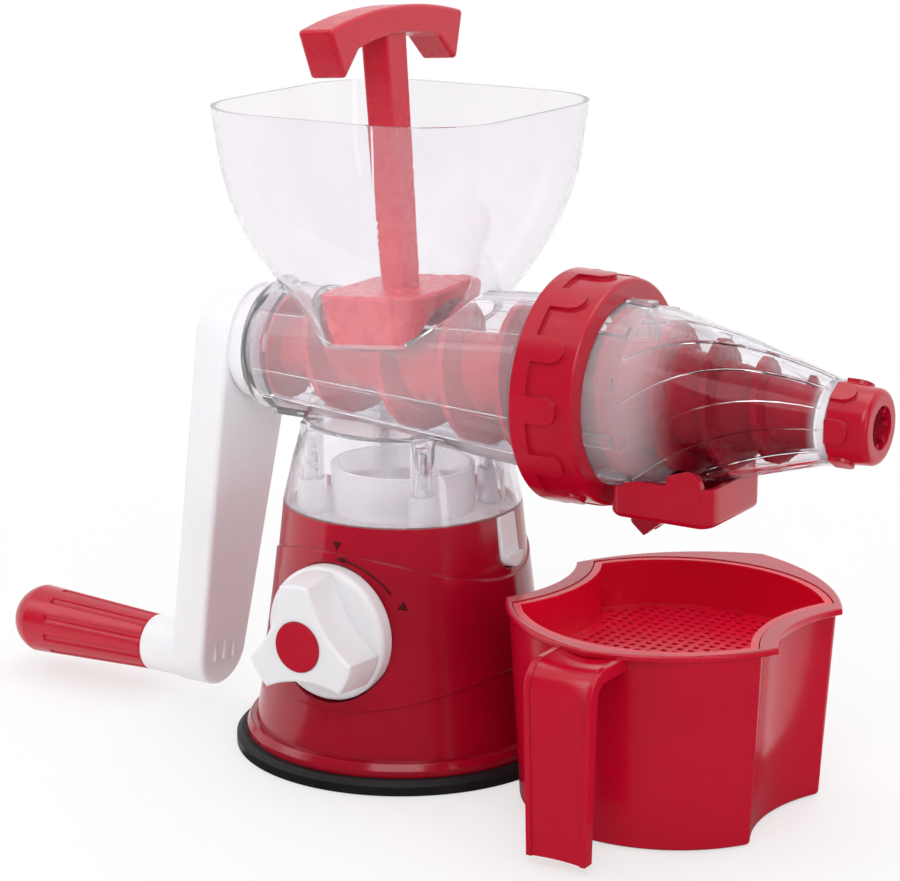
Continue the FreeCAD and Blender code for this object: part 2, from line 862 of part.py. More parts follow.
def suction_knob():
    rear_y = knob_pocket_y - slide_gap
    flange_y = rear_y - knob_flange_thickness
    flange = rod_y(knob_flange_radius, rear_y, flange_y)
    flange = flange.makeFillet(knob_flange_round, edges_at_depth(flange, flange_y))
    lobes = Part.makeLoft([knob_outline(0, flange_y), knob_outline(knob_draft, knob_front_y)], True, True)
    lobes = lobes.makeFillet(knob_edge_round, edges_at_depth(lobes, knob_front_y))
    spigot = rod_y(knob_spigot_radius, rear_y, knob_pocket_y + knob_pocket_floor)
    knob = flange.fuse(lobes).fuse(spigot)
    socket_y = knob_pocket_y - knob_flange_thickness
    knob = knob.cut(rod_y(cam_shaft_radius, socket_y, knob_pocket_y + 2 * knob_pocket_floor))
    knob = knob.cut(rod_y(screw_radius + screw_gap, knob_front_y, socket_y))
    knob = knob.cut(rod_y(screw_head_radius + slide_gap, flange_y - knob_screw_web, knob_front_y))
    return knob.cut(rod_y(knob_cap_radius, knob_front_y + knob_cap_thickness, knob_front_y - overlap))


def knob_cap():
    front_y = knob_front_y - knob_cap_crown
    return rod_y(knob_cap_radius - slide_gap / 2, knob_front_y + knob_cap_thickness, front_y)


def knob_screw():
    seat_y = knob_pocket_y - slide_gap - knob_flange_thickness - knob_screw_web
    head = rod_y(screw_head_radius, seat_y, seat_y - screw_head_height)
    return head.fuse(rod_y(screw_radius, seat_y, knob_pocket_y + screw_reach))


# Clear head
def barrel_radius(x):
    return between(x, ((barrel_rear_x, barrel_rear_radius), (barrel_front_x, barrel_front_radius)))


def barrel_outer():
    """Outer form of the barrel and its front collar, as a solid."""
    flange_x = barrel_rear_x + rear_flange_width
    round_off = rear_flange_round
    bow = round_off * arc_bow
    step_x = flange_x + rear_flange_step
    return spin_x(
        (barrel_rear_x, 0),
        (barrel_rear_x, rear_flange_radius - round_off),
        (
            (barrel_rear_x + bow, rear_flange_radius - bow),
            (barrel_rear_x + round_off, rear_flange_radius),
        ),
        (flange_x, rear_flange_radius),
        (step_x, barrel_radius(step_x)),
        (barrel_front_x, barrel_front_radius),
        (barrel_front_x, collar_radius),
        (collar_front_x, collar_radius),
        (collar_front_x, 0),
    )


def bore_radius(x):
    if x <= barrel_front_x:
        return barrel_radius(x) - barrel_wall
    return between(x, ((barrel_front_x, barrel_front_radius - barrel_wall), (collar_front_x, collar_bore)))


def barrel_bore():
    rear = barrel_rear_x + barrel_rear_wall
    return spin_x(
        (rear, 0),
        (rear, bore_radius(rear)),
        (barrel_front_x, bore_radius(barrel_front_x)),
        (collar_front_x, collar_bore),
        (collar_front_x + overlap, collar_bore),
        (collar_front_x + overlap, 0),
    )


def barrel_ribs():
    """Fine straight ribs along the bore."""
    rear = barrel_rear_x + barrel_rear_wall
    front = barrel_front_x
    wire = outline(
        about_x,
        (rear, bore_radius(rear) - barrel_rib_height),
        (front, bore_radius(front) - barrel_rib_height),
        (front, bore_radius(front) + barrel_wall / 2),
        (rear, bore_radius(rear) + barrel_wall / 2),
    )
    rib = Part.Face(wire).extrude(V(0, barrel_rib_width, 0))
    rib.translate(V(0, -barrel_rib_width / 2, 0))
    return ring_of(rib, barrel_rib_count, 180.0 / barrel_rib_count)


def skirt_form(inset):
    return spin_z(
        (0, housing_top_z),
        (housing_top_radius - inset, housing_top_z),
        (skirt_shoulder_radius - inset, skirt_shoulder_z),
        (skirt_top_radius - inset, skirt_top_z),
        (0, skirt_top_z),
    )


def post_places():
    return [(x, y) for x in (-post_spacing, post_spacing) for y in (-post_spacing, post_spacing)]


def collar_lug(rear_x, width, inner, outer):
    front_x = rear_x + width
    wire = outline(about_x, (rear_x, inner), (front_x, inner), (front_x, outer), (rear_x, outer))
    lug = Part.Face(wire).revolve(V(0, 0, auger_axis_z), V(1, 0, 0), 2 * lug_half_angle)
    return ring_of(lug, lug_count, 180.0 / lug_count - lug_half_angle)


def head_housing():
    reach = 2 * housing_top_radius
    room = block(-reach, reach, -reach, reach, 0, skirt_top_z - skirt_wall)
    skirt = skirt_form(0).cut(skirt_form(skirt_wall).common(room))
    keel = block(keel_rear_x, keel_front_x, -keel_half_width, keel_half_width,
                 skirt_top_z - keel_thickness, skirt_top_z)
    head = skirt.fuse(barrel_outer()).fuse(keel)
    for x, y in post_places():
        head = head.fuse(rod_z(post_radius, post_bottom_z, skirt_top_z - skirt_wall / 2, x, y))
    head = head.cut(barrel_bore()).fuse(barrel_ribs())
    lug_tip = ring_cavity_radius - ring_turn_room
    head = head.fuse(collar_lug(lug_rear_x, lug_width, collar_radius - overlap, lug_tip))
    head = head.cut(hopper_form(hopper_wall))
    head = head.cut(rod_x(bush_radius, barrel_rear_x - overlap, barrel_rear_x + barrel_rear_wall + overlap))
    for x, y in post_places():
        head = head.cut(rod_z(screw_radius + screw_gap, post_bottom_z, skirt_top_z - 2 * skirt_wall, x, y))
    return head


def adapter_plate():
    rim = housing_radius(housing_top_z) - housing_wall - slide_gap
    plate = rod_z(rim, deck_z, deck_z + adapter_thickness)
    plate = plate.fuse(rod_z(adapter_ring_radius, deck_z, adapter_ring_top_z))
    inner = adapter_ring_radius - adapter_ring_wall
    plate = plate.cut(rod_z(inner, deck_z + adapter_thickness, adapter_ring_top_z + overlap))
    plate = plate.cut(rod_z(adapter_hole_radius, deck_z - overlap, adapter_ring_top_z))
    notch = latch_slot(latch_ear_thickness + 2 * latch_gap, -latch_ear_depth - latch_gap, latch_ear_depth)
    plate = plate.cut(on_latch(notch))
    for x, y in post_places():
        plate = plate.fuse(rod_z(adapter_boss_radius, deck_z, post_bottom_z, x, y))
    for x, y in post_places():
        plate = plate.cut(rod_z(screw_radius + screw_gap, deck_z - overlap, post_bottom_z + overlap, x, y))
        seat_z = deck_z + screw_head_height
        plate = plate.cut(rod_z(screw_head_radius + slide_gap, deck_z - overlap, seat_z, x, y))
    return plate


def adapter_screws():
    screws = []
    for x, y in post_places():
        head = rod_z(screw_head_radius, deck_z, deck_z + screw_head_height, x, y)
        screws.append(head.fuse(rod_z(screw_radius, deck_z, skirt_top_z - 3 * skirt_wall, x, y)))
    return screws


# Drive
def drive_shaft():
    round_part = rod_x(shaft_radius, barrel_rear_x, shaft_front_x)
    hex_radius = shaft_hex_flats / math.sqrt(3)
    hex_end = crank_outer_x + crank_cap_thickness + screw_head_height + shaft_end_gap
    corners = [V(hex_end, hex_radius * math.cos(math.radians(60 * k)),
                 auger_axis_z + hex_radius * math.sin(math.radians(60 * k))) for k in range(7)]
    hexagon = Part.Face(Part.makePolygon(corners)).extrude(V(barrel_rear_x - hex_end, 0, 0))
    shaft = round_part.fuse(hexagon)
    return shaft.cut(rod_x(screw_radius + screw_gap, hex_end, hex_end + crank_screw_length))


def rear_bush():
    rear = barrel_rear_x
    inner_face = barrel_rear_x + barrel_rear_wall
    bush = rod_x(bush_radius, rear, inner_face)
    front = inner_face + bush_flange_thickness
    bush = bush.fuse(rod_x(bush_flange_radius, inner_face, front))
    return bush.cut(rod_x(shaft_radius + running_gap, rear - overlap, front + overlap))


def shaft_seal():
    rear = barrel_rear_x + barrel_rear_wall + bush_flange_thickness
    ring = rod_x(seal_radius, rear, rear + seal_thickness)
    return ring.cut(rod_x(shaft_radius + running_gap, rear - overlap, rear + seal_thickness + overlap))


# Strainer cone
cone_curve = circle_through(
    (cone_collar_front_x, cone_shoulder_radius),
    (cone_mid_x, cone_mid_radius),
    (cone_front_x, cone_front_radius),
)


def cone_radius(x):
    if x <= cone_collar_front_x:
        ends = ((cone_flange_rear_x, cone_collar_radius), (cone_collar_front_x, cone_shoulder_radius))
        return between(x, ends)
    centre, radius = cone_curve
    return centre.y + math.sqrt(radius ** 2 - (x - centre.x) ** 2)


def cone_rib(angle):
    """Raised rib that runs straight near the outlet and sweeps round towards the collar."""
    start_x = cone_collar_front_x + cone_rib_margin
    end_x = cone_front_x - cone_rib_margin
    sections = []
    for step in range(cone_rib_steps + 1):
        share = step / cone_rib_steps
        x = start_x + (end_x - start_x) * share
        turn = angle + cone_rib_twist * (1 - share) ** 2
        low = cone_radius(x) - cone_wall / 2
        high = cone_radius(x) + cone_rib_height
        half = cone_rib_width / 2
        wire = Part.makePolygon([
            V(x, -half, auger_axis_z + low),
            V(x, half, auger_axis_z + low),
            V(x, half / 2, auger_axis_z + high),
            V(x, -half / 2, auger_axis_z + high),
            V(x, -half, auger_axis_z + low),
        ])
        sections.append(turned_x(wire, turn))
    return Part.makeLoft(sections, True, True)


def strainer_cone():
    flange_x = cone_flange_rear_x + cone_flange_width
    outer = spin_x(
        (cone_flange_rear_x, 0),
        (cone_flange_rear_x, cone_flange_radius),
        (flange_x, cone_flange_radius),
        (flange_x, cone_radius(flange_x)),
        (cone_collar_front_x, cone_shoulder_radius),
        ((cone_mid_x, cone_mid_radius), (cone_front_x, cone_front_radius)),
        (cone_front_x, cone_neck_radius),
        (cone_neck_front_x, cone_neck_radius),
        (cone_neck_front_x, 0),
    )
    inner_end = cone_front_x - 2 * cone_wall
    inner = spin_x(
        (cone_flange_rear_x - overlap, 0),
        (cone_flange_rear_x - overlap, cone_radius(cone_flange_rear_x) - cone_wall),
        (cone_collar_front_x, cone_shoulder_radius - cone_wall),
        (
            (cone_mid_x, cone_mid_radius - cone_wall),
            (inner_end, cone_radius(inner_end) - cone_wall),
        ),
        (cone_front_x, cone_neck_bore),
        (cone_neck_front_x + overlap, cone_neck_bore),
        (cone_neck_front_x + overlap, 0),
    )
    ribs = [cone_rib(360.0 * index / cone_rib_count) for index in range(cone_rib_count)]
    cone = outer.fuse(ribs)
    lug_from = ring_front_x + slide_gap
    lug = block(lug_from, cone_collar_front_x, -cone_lug_width / 2, cone_lug_width / 2,
                auger_axis_z + cone_shoulder_radius - overlap,
                auger_axis_z + cone_collar_radius + cone_lug_height)
    cone = cone.fuse(ring_of(lug, cone_lug_count))
    cone = cone.cut(inner)
    slot_from = spout_rear_x + cone_slot_margin
    slot_to = spout_front_x - cone_slot_margin
    for index in range(cone_slot_count):
        y = cone_slot_pitch * (index - (cone_slot_count - 1) / 2)
        cone = cone.cut(block(slot_from, slot_to, y - cone_slot_width / 2, y + cone_slot_width / 2,
                              auger_axis_z - 2 * cone_collar_radius, auger_axis_z - cone_mid_radius / 2))
    return cone


def cone_seal():
    ring = rod_x(cone_seal_radius, collar_front_x, cone_flange_rear_x)
    return ring.cut(rod_x(collar_bore, collar_front_x - overlap, cone_flange_rear_x + overlap))


# Auger
def flight_radius(x):
    if x <= collar_front_x:
        return bore_radius(x) - barrel_rib_height - flight_gap
    if x <= cone_collar_front_x:
        return between(x, (
            (collar_front_x, collar_bore - barrel_rib_height - flight_gap),
            (cone_collar_front_x, cone_shoulder_radius - cone_wall - flight_gap),
        ))
    return cone_radius(x) - cone_wall - flight_gap


def core_radius(x):
    depth = between(x, (
        (auger_rear_x, flight_depth_rear),
        (barrel_front_x, flight_depth_mid),
        (auger_front_x, flight_depth_front),
    ))
    return flight_radius(x) - depth


def flight_place(turns):
    """Axial place of the flight: long first turns, then an even pitch."""
    run_in = flight_extra_pitch / flight_pitch_decay
    start = auger_rear_x + auger_disc_width
    return start + flight_end_pitch * turns + run_in * (1 - math.exp(-flight_pitch_decay * turns))


def auger_flight():
    sections = []
    step = 0
    while True:
        turns = step / flight_steps_per_turn
        x = flight_place(turns)
        if x > auger_front_x - flight_root_width:
            break
        root = core_radius(x) - flight_root_sink
        tip = flight_radius(x)
        wire = Part.makePolygon([
            about_x(x - flight_root_width / 2, root),
            about_x(x + flight_root_width / 2, root),
            about_x(x + flight_tip_width / 2, tip),
            about_x(x - flight_tip_width / 2, tip),
            about_x(x - flight_root_width / 2, root),
        ])
        sections.append(turned_x(wire, flight_start_angle + 360.0 * turns))
        step += 1
    return Part.makeLoft(sections, True, True)


def auger():
    disc_x = auger_rear_x + auger_disc_width
    stations = [disc_x, barrel_front_x, collar_front_x, cone_collar_front_x, cone_mid_x, auger_front_x]
    skin = [(x, core_radius(x)) for x in stations]
    disc = [(auger_rear_x, flight_radius(auger_rear_x)), (disc_x, flight_radius(auger_rear_x))]
    core = spin_x((auger_rear_x, 0), *disc, *skin, (auger_front_x, 0))
    return core.fuse(auger_flight()).cut(rod_x(shaft_radius, auger_rear_x - overlap, shaft_front_x))


# Lock ring
def tongue(width, length, rear_x, low, high):
    """Radial prism with a rounded front end."""
    half = width / 2

    def place(along, across):
        return V(rear_x + along, across, auger_axis_z + low)

    face = Part.Face(outline(
        place,
        (0, -half),
        (length - half, -half),
        ((length, 0), (length - half, half)),
        (0, half),
    ))
    return face.extrude(V(0, 0, high - low))


def lock_ring():
    front_wall_x = ring_front_x - ring_front_wall
    collar_hole = cone_collar_radius + ring_turn_room
    bow = ring_edge_round * arc_bow
    body = spin_x(
        (ring_rear_x, ring_cavity_radius),
        (ring_rear_x, ring_radius),
        (ring_front_x - ring_edge_round, ring_radius),
        (
            (ring_front_x - bow, ring_radius - bow),
            (ring_front_x, ring_radius - ring_edge_round),
        ),
        (ring_front_x, collar_hole),
        (front_wall_x, collar_hole),
        (front_wall_x, ring_cavity_radius),
    )
    core_radius_inside = ring_radius - overlap
    core = rod_x(core_radius_inside, ring_rear_x - overlap, ring_front_x + overlap)
    band = rod_x(ring_band_radius, ring_rear_x, ring_rear_x + ring_band_width).cut(core)
    sleeve = rod_x(ring_band_radius, ring_rear_x, ring_front_x).cut(core)
    prong = tongue(ring_tongue_width, ring_band_width + ring_tongue_length, ring_rear_x,
                   core_radius_inside, ring_band_radius + overlap)
    raised = sleeve.common(Part.makeCompound(ring_of(prong, ring_tongue_count)))
    body = body.fuse(band).fuse(raised)
    rear_x = lug_rear_x - slide_gap - lug_width
    lugs = collar_lug(rear_x, lug_width, collar_radius + ring_turn_room, ring_cavity_radius + overlap)
    return body.fuse(lugs)


# Outlet cap
def outlet_cap():
    wall_x = cap_front_x - cap_front_wall
    bow = cap_edge_round * arc_bow
    body = spin_x(
        (cap_rear_x, cone_neck_radius + slide_gap),
        (cap_rear_x, cap_rear_radius),
        (cap_front_x - cap_edge_round, cap_front_radius),
        ((cap_front_x - bow, cap_front_radius - bow), (cap_front_x, cap_front_radius - cap_edge_round)),
        (cap_front_x, cap_hole_radius),
        (wall_x, cap_hole_radius),
        (wall_x, cone_neck_radius + slide_gap),
    )
    tab = tongue(cap_tab_width, cap_tab_length, cap_rear_x,
                 cap_front_radius - cap_tab_sink, cap_rear_radius + cap_tab_height)
    tooth = block(cap_front_x - cap_front_wall / 2, cap_front_x - ring_edge_round,
                  -cap_tooth_width / 2, cap_tooth_width / 2,
                  auger_axis_z + cap_hole_radius - cap_tooth_height,
                  auger_axis_z + cap_hole_radius + overlap)
    body = body.fuse(ring_of(tab, cap_tab_count, cap_tab_turn))
    return body.fuse(ring_of(tooth, cap_tooth_count))


# Juice spout
def juice_spout():
    middle_x = (spout_rear_x + spout_front_x) / 2
    half_x = (spout_front_x - spout_rear_x) / 2
    outer = Part.Face(rounded_rectangle(half_x, spout_half_width, spout_corner, spout_bottom_z, middle_x))
    inner = Part.Face(rounded_rectangle(half_x - spout_wall, spout_half_width - spout_wall,
                                        spout_corner - spout_wall, spout_bottom_z + spout_wall, middle_x))
    trough = outer.extrude(V(0, 0, spout_top_z - spout_bottom_z))
    trough = trough.makeFillet(spout_bottom_round, edges_at_height(trough, spout_bottom_z))
    lug_y = -spout_half_width - spout_lug_stand_out
    lug = rod_y(spout_lug_radius, lug_y, -spout_half_width + spout_wall, spout_lug_x, spout_lug_z)
    trough = trough.cut(inner.extrude(V(0, 0, spout_top_z))).fuse(lug)
    root = spout_nozzle_half_length
    tip = spout_nozzle_bore + spout_nozzle_wall
    nozzle = Part.makeLoft([
        rounded_rectangle(root, root, spout_nozzle_corner, spout_bottom_z, spout_nozzle_x),
        rounded_rectangle(tip, tip, spout_nozzle_corner, spout_nozzle_bottom_z, spout_nozzle_x),
    ], True, True)
    shoulder_z = spout_bottom_z - spout_nozzle_shoulder
    drip = Part.Face(Part.makePolygon([
        V(spout_nozzle_x - root, -root, spout_bottom_z),
        V(spout_nozzle_x - root, -root, shoulder_z),
        V(spout_nozzle_x, -root, spout_nozzle_bottom_z),
        V(spout_nozzle_x + root, -root, shoulder_z),
        V(spout_nozzle_x + root, -root, spout_bottom_z),
        V(spout_nozzle_x - root, -root, spout_bottom_z),
    ]))
    nozzle = nozzle.common(drip.extrude(V(0, 2 * root, 0)))
    bore = block(spout_nozzle_x - spout_nozzle_bore, spout_nozzle_x + spout_nozzle_bore,
                 -spout_nozzle_bore, spout_nozzle_bore,
                 spout_nozzle_bottom_z - overlap, spout_bottom_z + 2 * spout_wall)
    trough = trough.fuse(nozzle).cut(bore)
    reach = cone_rib_height + spout_cone_gap
    relief = spin_x(
        (cone_flange_rear_x, 0),
        (cone_flange_rear_x, cone_collar_radius + cone_lug_height + spout_cone_gap),
        (cone_collar_front_x, cone_collar_radius + cone_lug_height + spout_cone_gap),
        (cone_collar_front_x, cone_shoulder_radius + reach),
        ((cone_mid_x, cone_mid_radius + reach), (cone_front_x, cone_front_radius + reach)),
        (cone_front_x, 0),
    )
    return trough.cut(relief)


# Hopper
def hopper_form(inset):
    """Funnel solid drawn in by an inset: a rounded square rim over a bowl that narrows to the neck."""
    rim_z = hopper_top_z - hopper_rim_height
    share = hopper_corner_share

    def square(half, z):
        return rounded_rectangle(half - inset, half - inset, share * half - inset, z)

    neck = rounded_rectangle(hopper_neck_half_x - inset, hopper_neck_half_y - inset,
                             hopper_neck_corner - inset, hopper_neck_z)
    bowl = Part.makeLoft([
        square(hopper_rim_half, rim_z),
        square(hopper_shoulder_half, hopper_shoulder_z),
        square(hopper_belly_half, hopper_belly_z),
        square(hopper_throat_half, hopper_throat_z),
        neck,
    ], True)
    rim = Part.makeLoft([square(hopper_rim_half, rim_z), square(hopper_top_half, hopper_top_z)], True, True)
    return rim.fuse(bowl)


def hopper():
    step_x = barrel_rear_x + rear_flange_width + rear_flange_step
    saddle = spin_x(
        (barrel_rear_x, 0),
        (barrel_rear_x, rear_flange_radius + hopper_saddle_gap),
        (step_x, barrel_radius(step_x) + hopper_saddle_gap),
        (barrel_front_x, barrel_front_radius + hopper_saddle_gap),
        (barrel_front_x, 0),
    )
    return hopper_form(0).cut(hopper_form(hopper_wall)).cut(saddle)


# Pusher
def leaned_pusher(shape):
    copy = shape.copy()
    copy.rotate(V(0, 0, pusher_pivot_z), V(0, 1, 0), -pusher_lean)
    return copy


def handle_profile(x):
    """Arched bar seen along X: crown above, hollow arch below, ends cut square to the crown."""
    half = pusher_handle_half_length
    tilt = math.tan(math.radians(pusher_end_tilt))

    def place(y, z):
        return V(x, y, z)

    def drop(y, radius):
        return radius - math.sqrt(radius ** 2 - y ** 2)

    top_z = pusher_crown_z - drop(half, pusher_crown_radius)
    foot_z = top_z - pusher_end_drop
    foot_y = half - tilt * (top_z - foot_z)
    heel_y = foot_y - pusher_heel
    heel_z = pusher_arch_z - drop(heel_y, pusher_arch_radius)
    return outline(
        place,
        (-half, top_z),
        ((0, pusher_crown_z), (half, top_z)),
        (foot_y, foot_z),
        (heel_y, heel_z),
        ((0, pusher_arch_z), (-heel_y, heel_z)),
        (-foot_y, foot_z),
    )


def pusher():
    half_width = pusher_handle_width / 2
    handle = Part.Face(handle_profile(-half_width)).extrude(V(pusher_handle_width, 0, 0))
    handle = handle.makeFillet(pusher_edge_round, handle.Edges)
    flare = pusher_foot_flare
    foot = Part.makeLoft([
        rounded_rectangle(pusher_foot_half_x, pusher_foot_half_y,
                          pusher_foot_corner, pusher_foot_bottom_z),
        rounded_rectangle(pusher_foot_half_x + flare, pusher_foot_half_y + flare,
                          pusher_foot_corner + flare, pusher_foot_top_z),
    ], True, True)
    foot = foot.makeFillet(pusher_foot_round, edges_at_height(foot, pusher_foot_top_z))
    stem = Part.makeLoft([
        rounded_rectangle(pusher_stem_half_x - pusher_stem_taper, pusher_stem_half_y - pusher_stem_taper,
                          pusher_stem_corner, pusher_foot_top_z - overlap),
        rounded_rectangle(pusher_stem_half_x, pusher_stem_half_y,
                          pusher_stem_corner, pusher_crown_z - pusher_stem_half_x),
    ], True, True)
    body = leaned_pusher(handle.fuse(stem).fuse(foot))
    reach = 2 * pusher_foot_half_x
    saddle = spin_x(
        (-reach, 0),
        (-reach, flight_radius(-reach) + pusher_saddle_gap),
        (reach, flight_radius(reach) + pusher_saddle_gap),
        (reach, 0),
    )
    return body.cut(saddle)


# Crank
def swung(shape):
    return turned_x(shape, -crank_swing)


def crank_inner(z):
    return crank_inner_x - crank_drop * max(0.0, auger_axis_z - z)


grip_root_x = crank_inner(grip_axis_z) - crank_thickness / 2


def crank_front_outline(x):
    """Tapering tongue seen along X: two arcs joined by tangent lines."""
    span = auger_axis_z - crank_end_z
    slope = math.asin((crank_head_radius - crank_end_radius) / span)
    high_y = crank_head_radius * math.cos(slope)
    high_z = auger_axis_z - crank_head_radius * math.sin(slope)
    low_y = crank_end_radius * math.cos(slope)
    low_z = crank_end_z - crank_end_radius * math.sin(slope)

    def place(y, z):
        return V(x, y, z)

    return outline(
        place,
        (-high_y, high_z),
        (-low_y, low_z),
        ((0, crank_end_z - crank_end_radius), (low_y, low_z)),
        (high_y, high_z),
        ((0, auger_axis_z + crank_head_radius), (-high_y, high_z)),
    )


def on_crank_inner_face(point):
    return abs(point.x - crank_inner(point.z)) < tolerance and abs(point.y) > tolerance


def crank_arm():
    top_z = auger_axis_z + crank_head_radius + overlap
    bottom_z = crank_end_z - crank_end_radius
    elbow = crank_elbow_radius
    bow = elbow * arc_bow
    reach = crank_head_radius + overlap

    def place(x, z):
        return V(x, -reach, z)

    side = outline(
        place,
        (crank_inner_x, top_z),
        (crank_inner_x, auger_axis_z),
        (crank_inner(bottom_z), bottom_z),
        (crank_inner(bottom_z) - crank_thickness, bottom_z),
        (crank_outer_x, auger_axis_z),
        (crank_outer_x, top_z - elbow),
        ((crank_outer_x + bow, top_z - bow), (crank_outer_x + elbow, top_z)),
    )
    bar = Part.Face(side).extrude(V(0, 2 * reach, 0))
    front = Part.Face(crank_front_outline(2 * crank_boss_end_x)).extrude(V(-2 * crank_boss_end_x, 0, 0))
    arm = bar.common(front)
    arm = arm.makeFillet(crank_edge_round, edges_where(arm, on_crank_inner_face))
    hub_end = barrel_rear_x - crank_hub_gap
    arm = arm.fuse(rod_x(crank_hub_radius, crank_inner_x - overlap, hub_end))
    arm = arm.fuse(rod_x(grip_inner_radius, grip_root_x, crank_boss_end_x, 0, grip_axis_z))
    for index in range(crank_bar_count):
        y = crank_bar_pitch * (index - (crank_bar_count - 1) / 2)
        z = grip_axis_z + crank_bar_rise
        face_x = crank_inner(z)
        arm = arm.fuse(block(face_x - 2 * overlap, face_x + crank_bar_relief,
                             y - crank_bar_width / 2, y + crank_bar_width / 2,
                             z - crank_bar_length / 2, z + crank_bar_length / 2))
    arm = arm.cut(rod_x(crank_cap_radius, crank_outer_x - overlap, crank_outer_x + crank_cap_thickness))
    head_end = crank_outer_x + crank_cap_thickness + screw_head_height
    arm = arm.cut(rod_x(screw_head_radius + slide_gap, crank_outer_x, head_end))
    arm = arm.cut(rod_x(screw_radius + screw_gap, crank_outer_x, hub_end))
    arm = arm.cut(rod_x(grip_pin_radius, grip_root_x, crank_boss_end_x - overlap, 0, grip_axis_z))
    return swung(arm.cut(drive_shaft()))


def crank_screw():
    seat = crank_outer_x + crank_cap_thickness + screw_head_height
    head = rod_x(screw_head_radius, seat - screw_head_height, seat)
    return swung(head.fuse(rod_x(screw_radius, seat, seat + crank_screw_length)))


def crank_cap():
    return swung(rod_x(crank_cap_radius - slide_gap / 2, crank_outer_x, crank_outer_x + crank_cap_thickness))


def grip_pin():
    tip = grip_end_x + grip_end_wall
    pin = rod_x(grip_pin_radius, grip_root_x, tip, 0, grip_axis_z)
    head = rod_x(grip_pin_head_radius, tip, tip + grip_pin_head_length, 0, grip_axis_z)
    return swung(pin.fuse(head))


def crank_grip():
    def place(along, radius):
        return V(grip_start_x - along, 0, grip_axis_z + radius)

    body_end = grip_length - grip_dome
    dome_radius = (grip_outer_radius ** 2 + grip_dome ** 2) / (2 * grip_dome)
    dome_centre = grip_length - dome_radius
    half_turn = math.asin(grip_outer_radius / dome_radius) / 2
    wire = outline(
        place,
        (0, 0),
        (0, grip_inner_radius - grip_edge),
        (grip_edge, grip_inner_radius),
        (body_end, grip_outer_radius),
        (
            (dome_centre + dome_radius * math.cos(half_turn), dome_radius * math.sin(half_turn)),
            (grip_length, 0),
        ),
    )
    grip = Part.Face(wire).revolve(V(0, 0, grip_axis_z), V(1, 0, 0), 360)
    slope = math.degrees(math.atan2(grip_outer_radius - grip_inner_radius, body_end))
    flute_z = grip_axis_z + grip_inner_radius - grip_flute_depth + grip_flute_radius
    flute_end_x = grip_end_x + grip_flute_end
    flute = rod_x(grip_flute_radius, flute_end_x, grip_start_x + overlap, 0, flute_z)
    flute.rotate(V(grip_start_x, 0, flute_z), V(0, 1, 0), slope)
    for index in range(grip_flute_count):
        cutter = flute.copy()
        cutter.rotate(V(0, 0, grip_axis_z), V(1, 0, 0), 360.0 * index / grip_flute_count)
        grip = grip.cut(cutter)
    tip = grip_end_x + grip_end_wall
    grip = grip.cut(rod_x(grip_pin_radius + running_gap, tip, grip_start_x + overlap, 0, grip_axis_z))
    room_end = tip + grip_pin_head_length + slide_gap
    grip = grip.cut(rod_x(grip_pin_head_radius + slide_gap, tip - slide_gap, room_end, 0, grip_axis_z))
    return swung(grip)


# Juice cup and sieve
def cup_form(inset, z_from, z_to):
    """Drafted round body with a hollow on each X side, drawn in by an inset."""
    def drafted(bottom, top, grow, offset):
        slope = (top - bottom) / cup_height
        return Part.makeCone(bottom + slope * z_from + grow, bottom + slope * z_to + grow,
                             z_to - z_from, V(cup_centre_x + offset, 0, z_from))

    body = drafted(cup_bottom_radius, cup_top_radius, -inset, 0)
    for side in (-1, 1):
        offset = side * cup_notch_distance
        body = body.cut(drafted(cup_notch_bottom_radius, cup_notch_top_radius, inset, offset))
    return body


def cup_body():
    """Outer form of the cup with its upright corners and its foot rounded."""
    body = cup_form(0, 0, cup_height)
    tall = [edge for edge in body.Edges if edge.BoundBox.ZLength > cup_height / 2]
    corners = [edge for edge in tall if abs(edge.CenterOfMass.y) > cup_corner_round]
    body = body.makeFillet(cup_corner_round, corners)
    return body.makeFillet(cup_bottom_round, edges_at_height(body, 0))


def cup_flange():
    """Rim flange that comes to a short point over the handle and a longer one at the back."""
    far = cup_notch_distance
    corner_x = (cup_flange_radius ** 2 - cup_flange_notch_radius ** 2 + far ** 2) / (2 * far)
    corner_y = math.sqrt(cup_flange_radius ** 2 - corner_x ** 2)
    bearing = (math.atan2(corner_y, corner_x) + math.pi / 2) / 2
    back_radius = cup_flange_radius + cup_flange_back_bow
    front_x = cup_flange_radius * math.cos(bearing)
    front_y = -cup_flange_radius * math.sin(bearing)
    back_x = back_radius * math.cos(bearing)
    back_y = back_radius * math.sin(bearing)
    hollow_x = far - cup_flange_notch_radius
    low_z = cup_height - cup_flange_thickness

    def place(x, y):
        return V(cup_centre_x + x, y, low_z)

    face = Part.Face(outline(
        place,
        (0, -cup_flange_front),
        ((front_x, front_y), (corner_x, -corner_y)),
        ((hollow_x, 0), (corner_x, corner_y)),
        ((back_x, back_y), (0, cup_flange_back)),
        ((-back_x, back_y), (-corner_x, corner_y)),
        ((-hollow_x, 0), (-corner_x, -corner_y)),
        ((-front_x, front_y), (0, -cup_flange_front)),
    ))
    flange = face.extrude(V(0, 0, cup_flange_thickness))
    rim = edges_at_height(flange, cup_height) + edges_at_height(flange, low_z)
    return flange.makeFillet(cup_flange_round, rim)


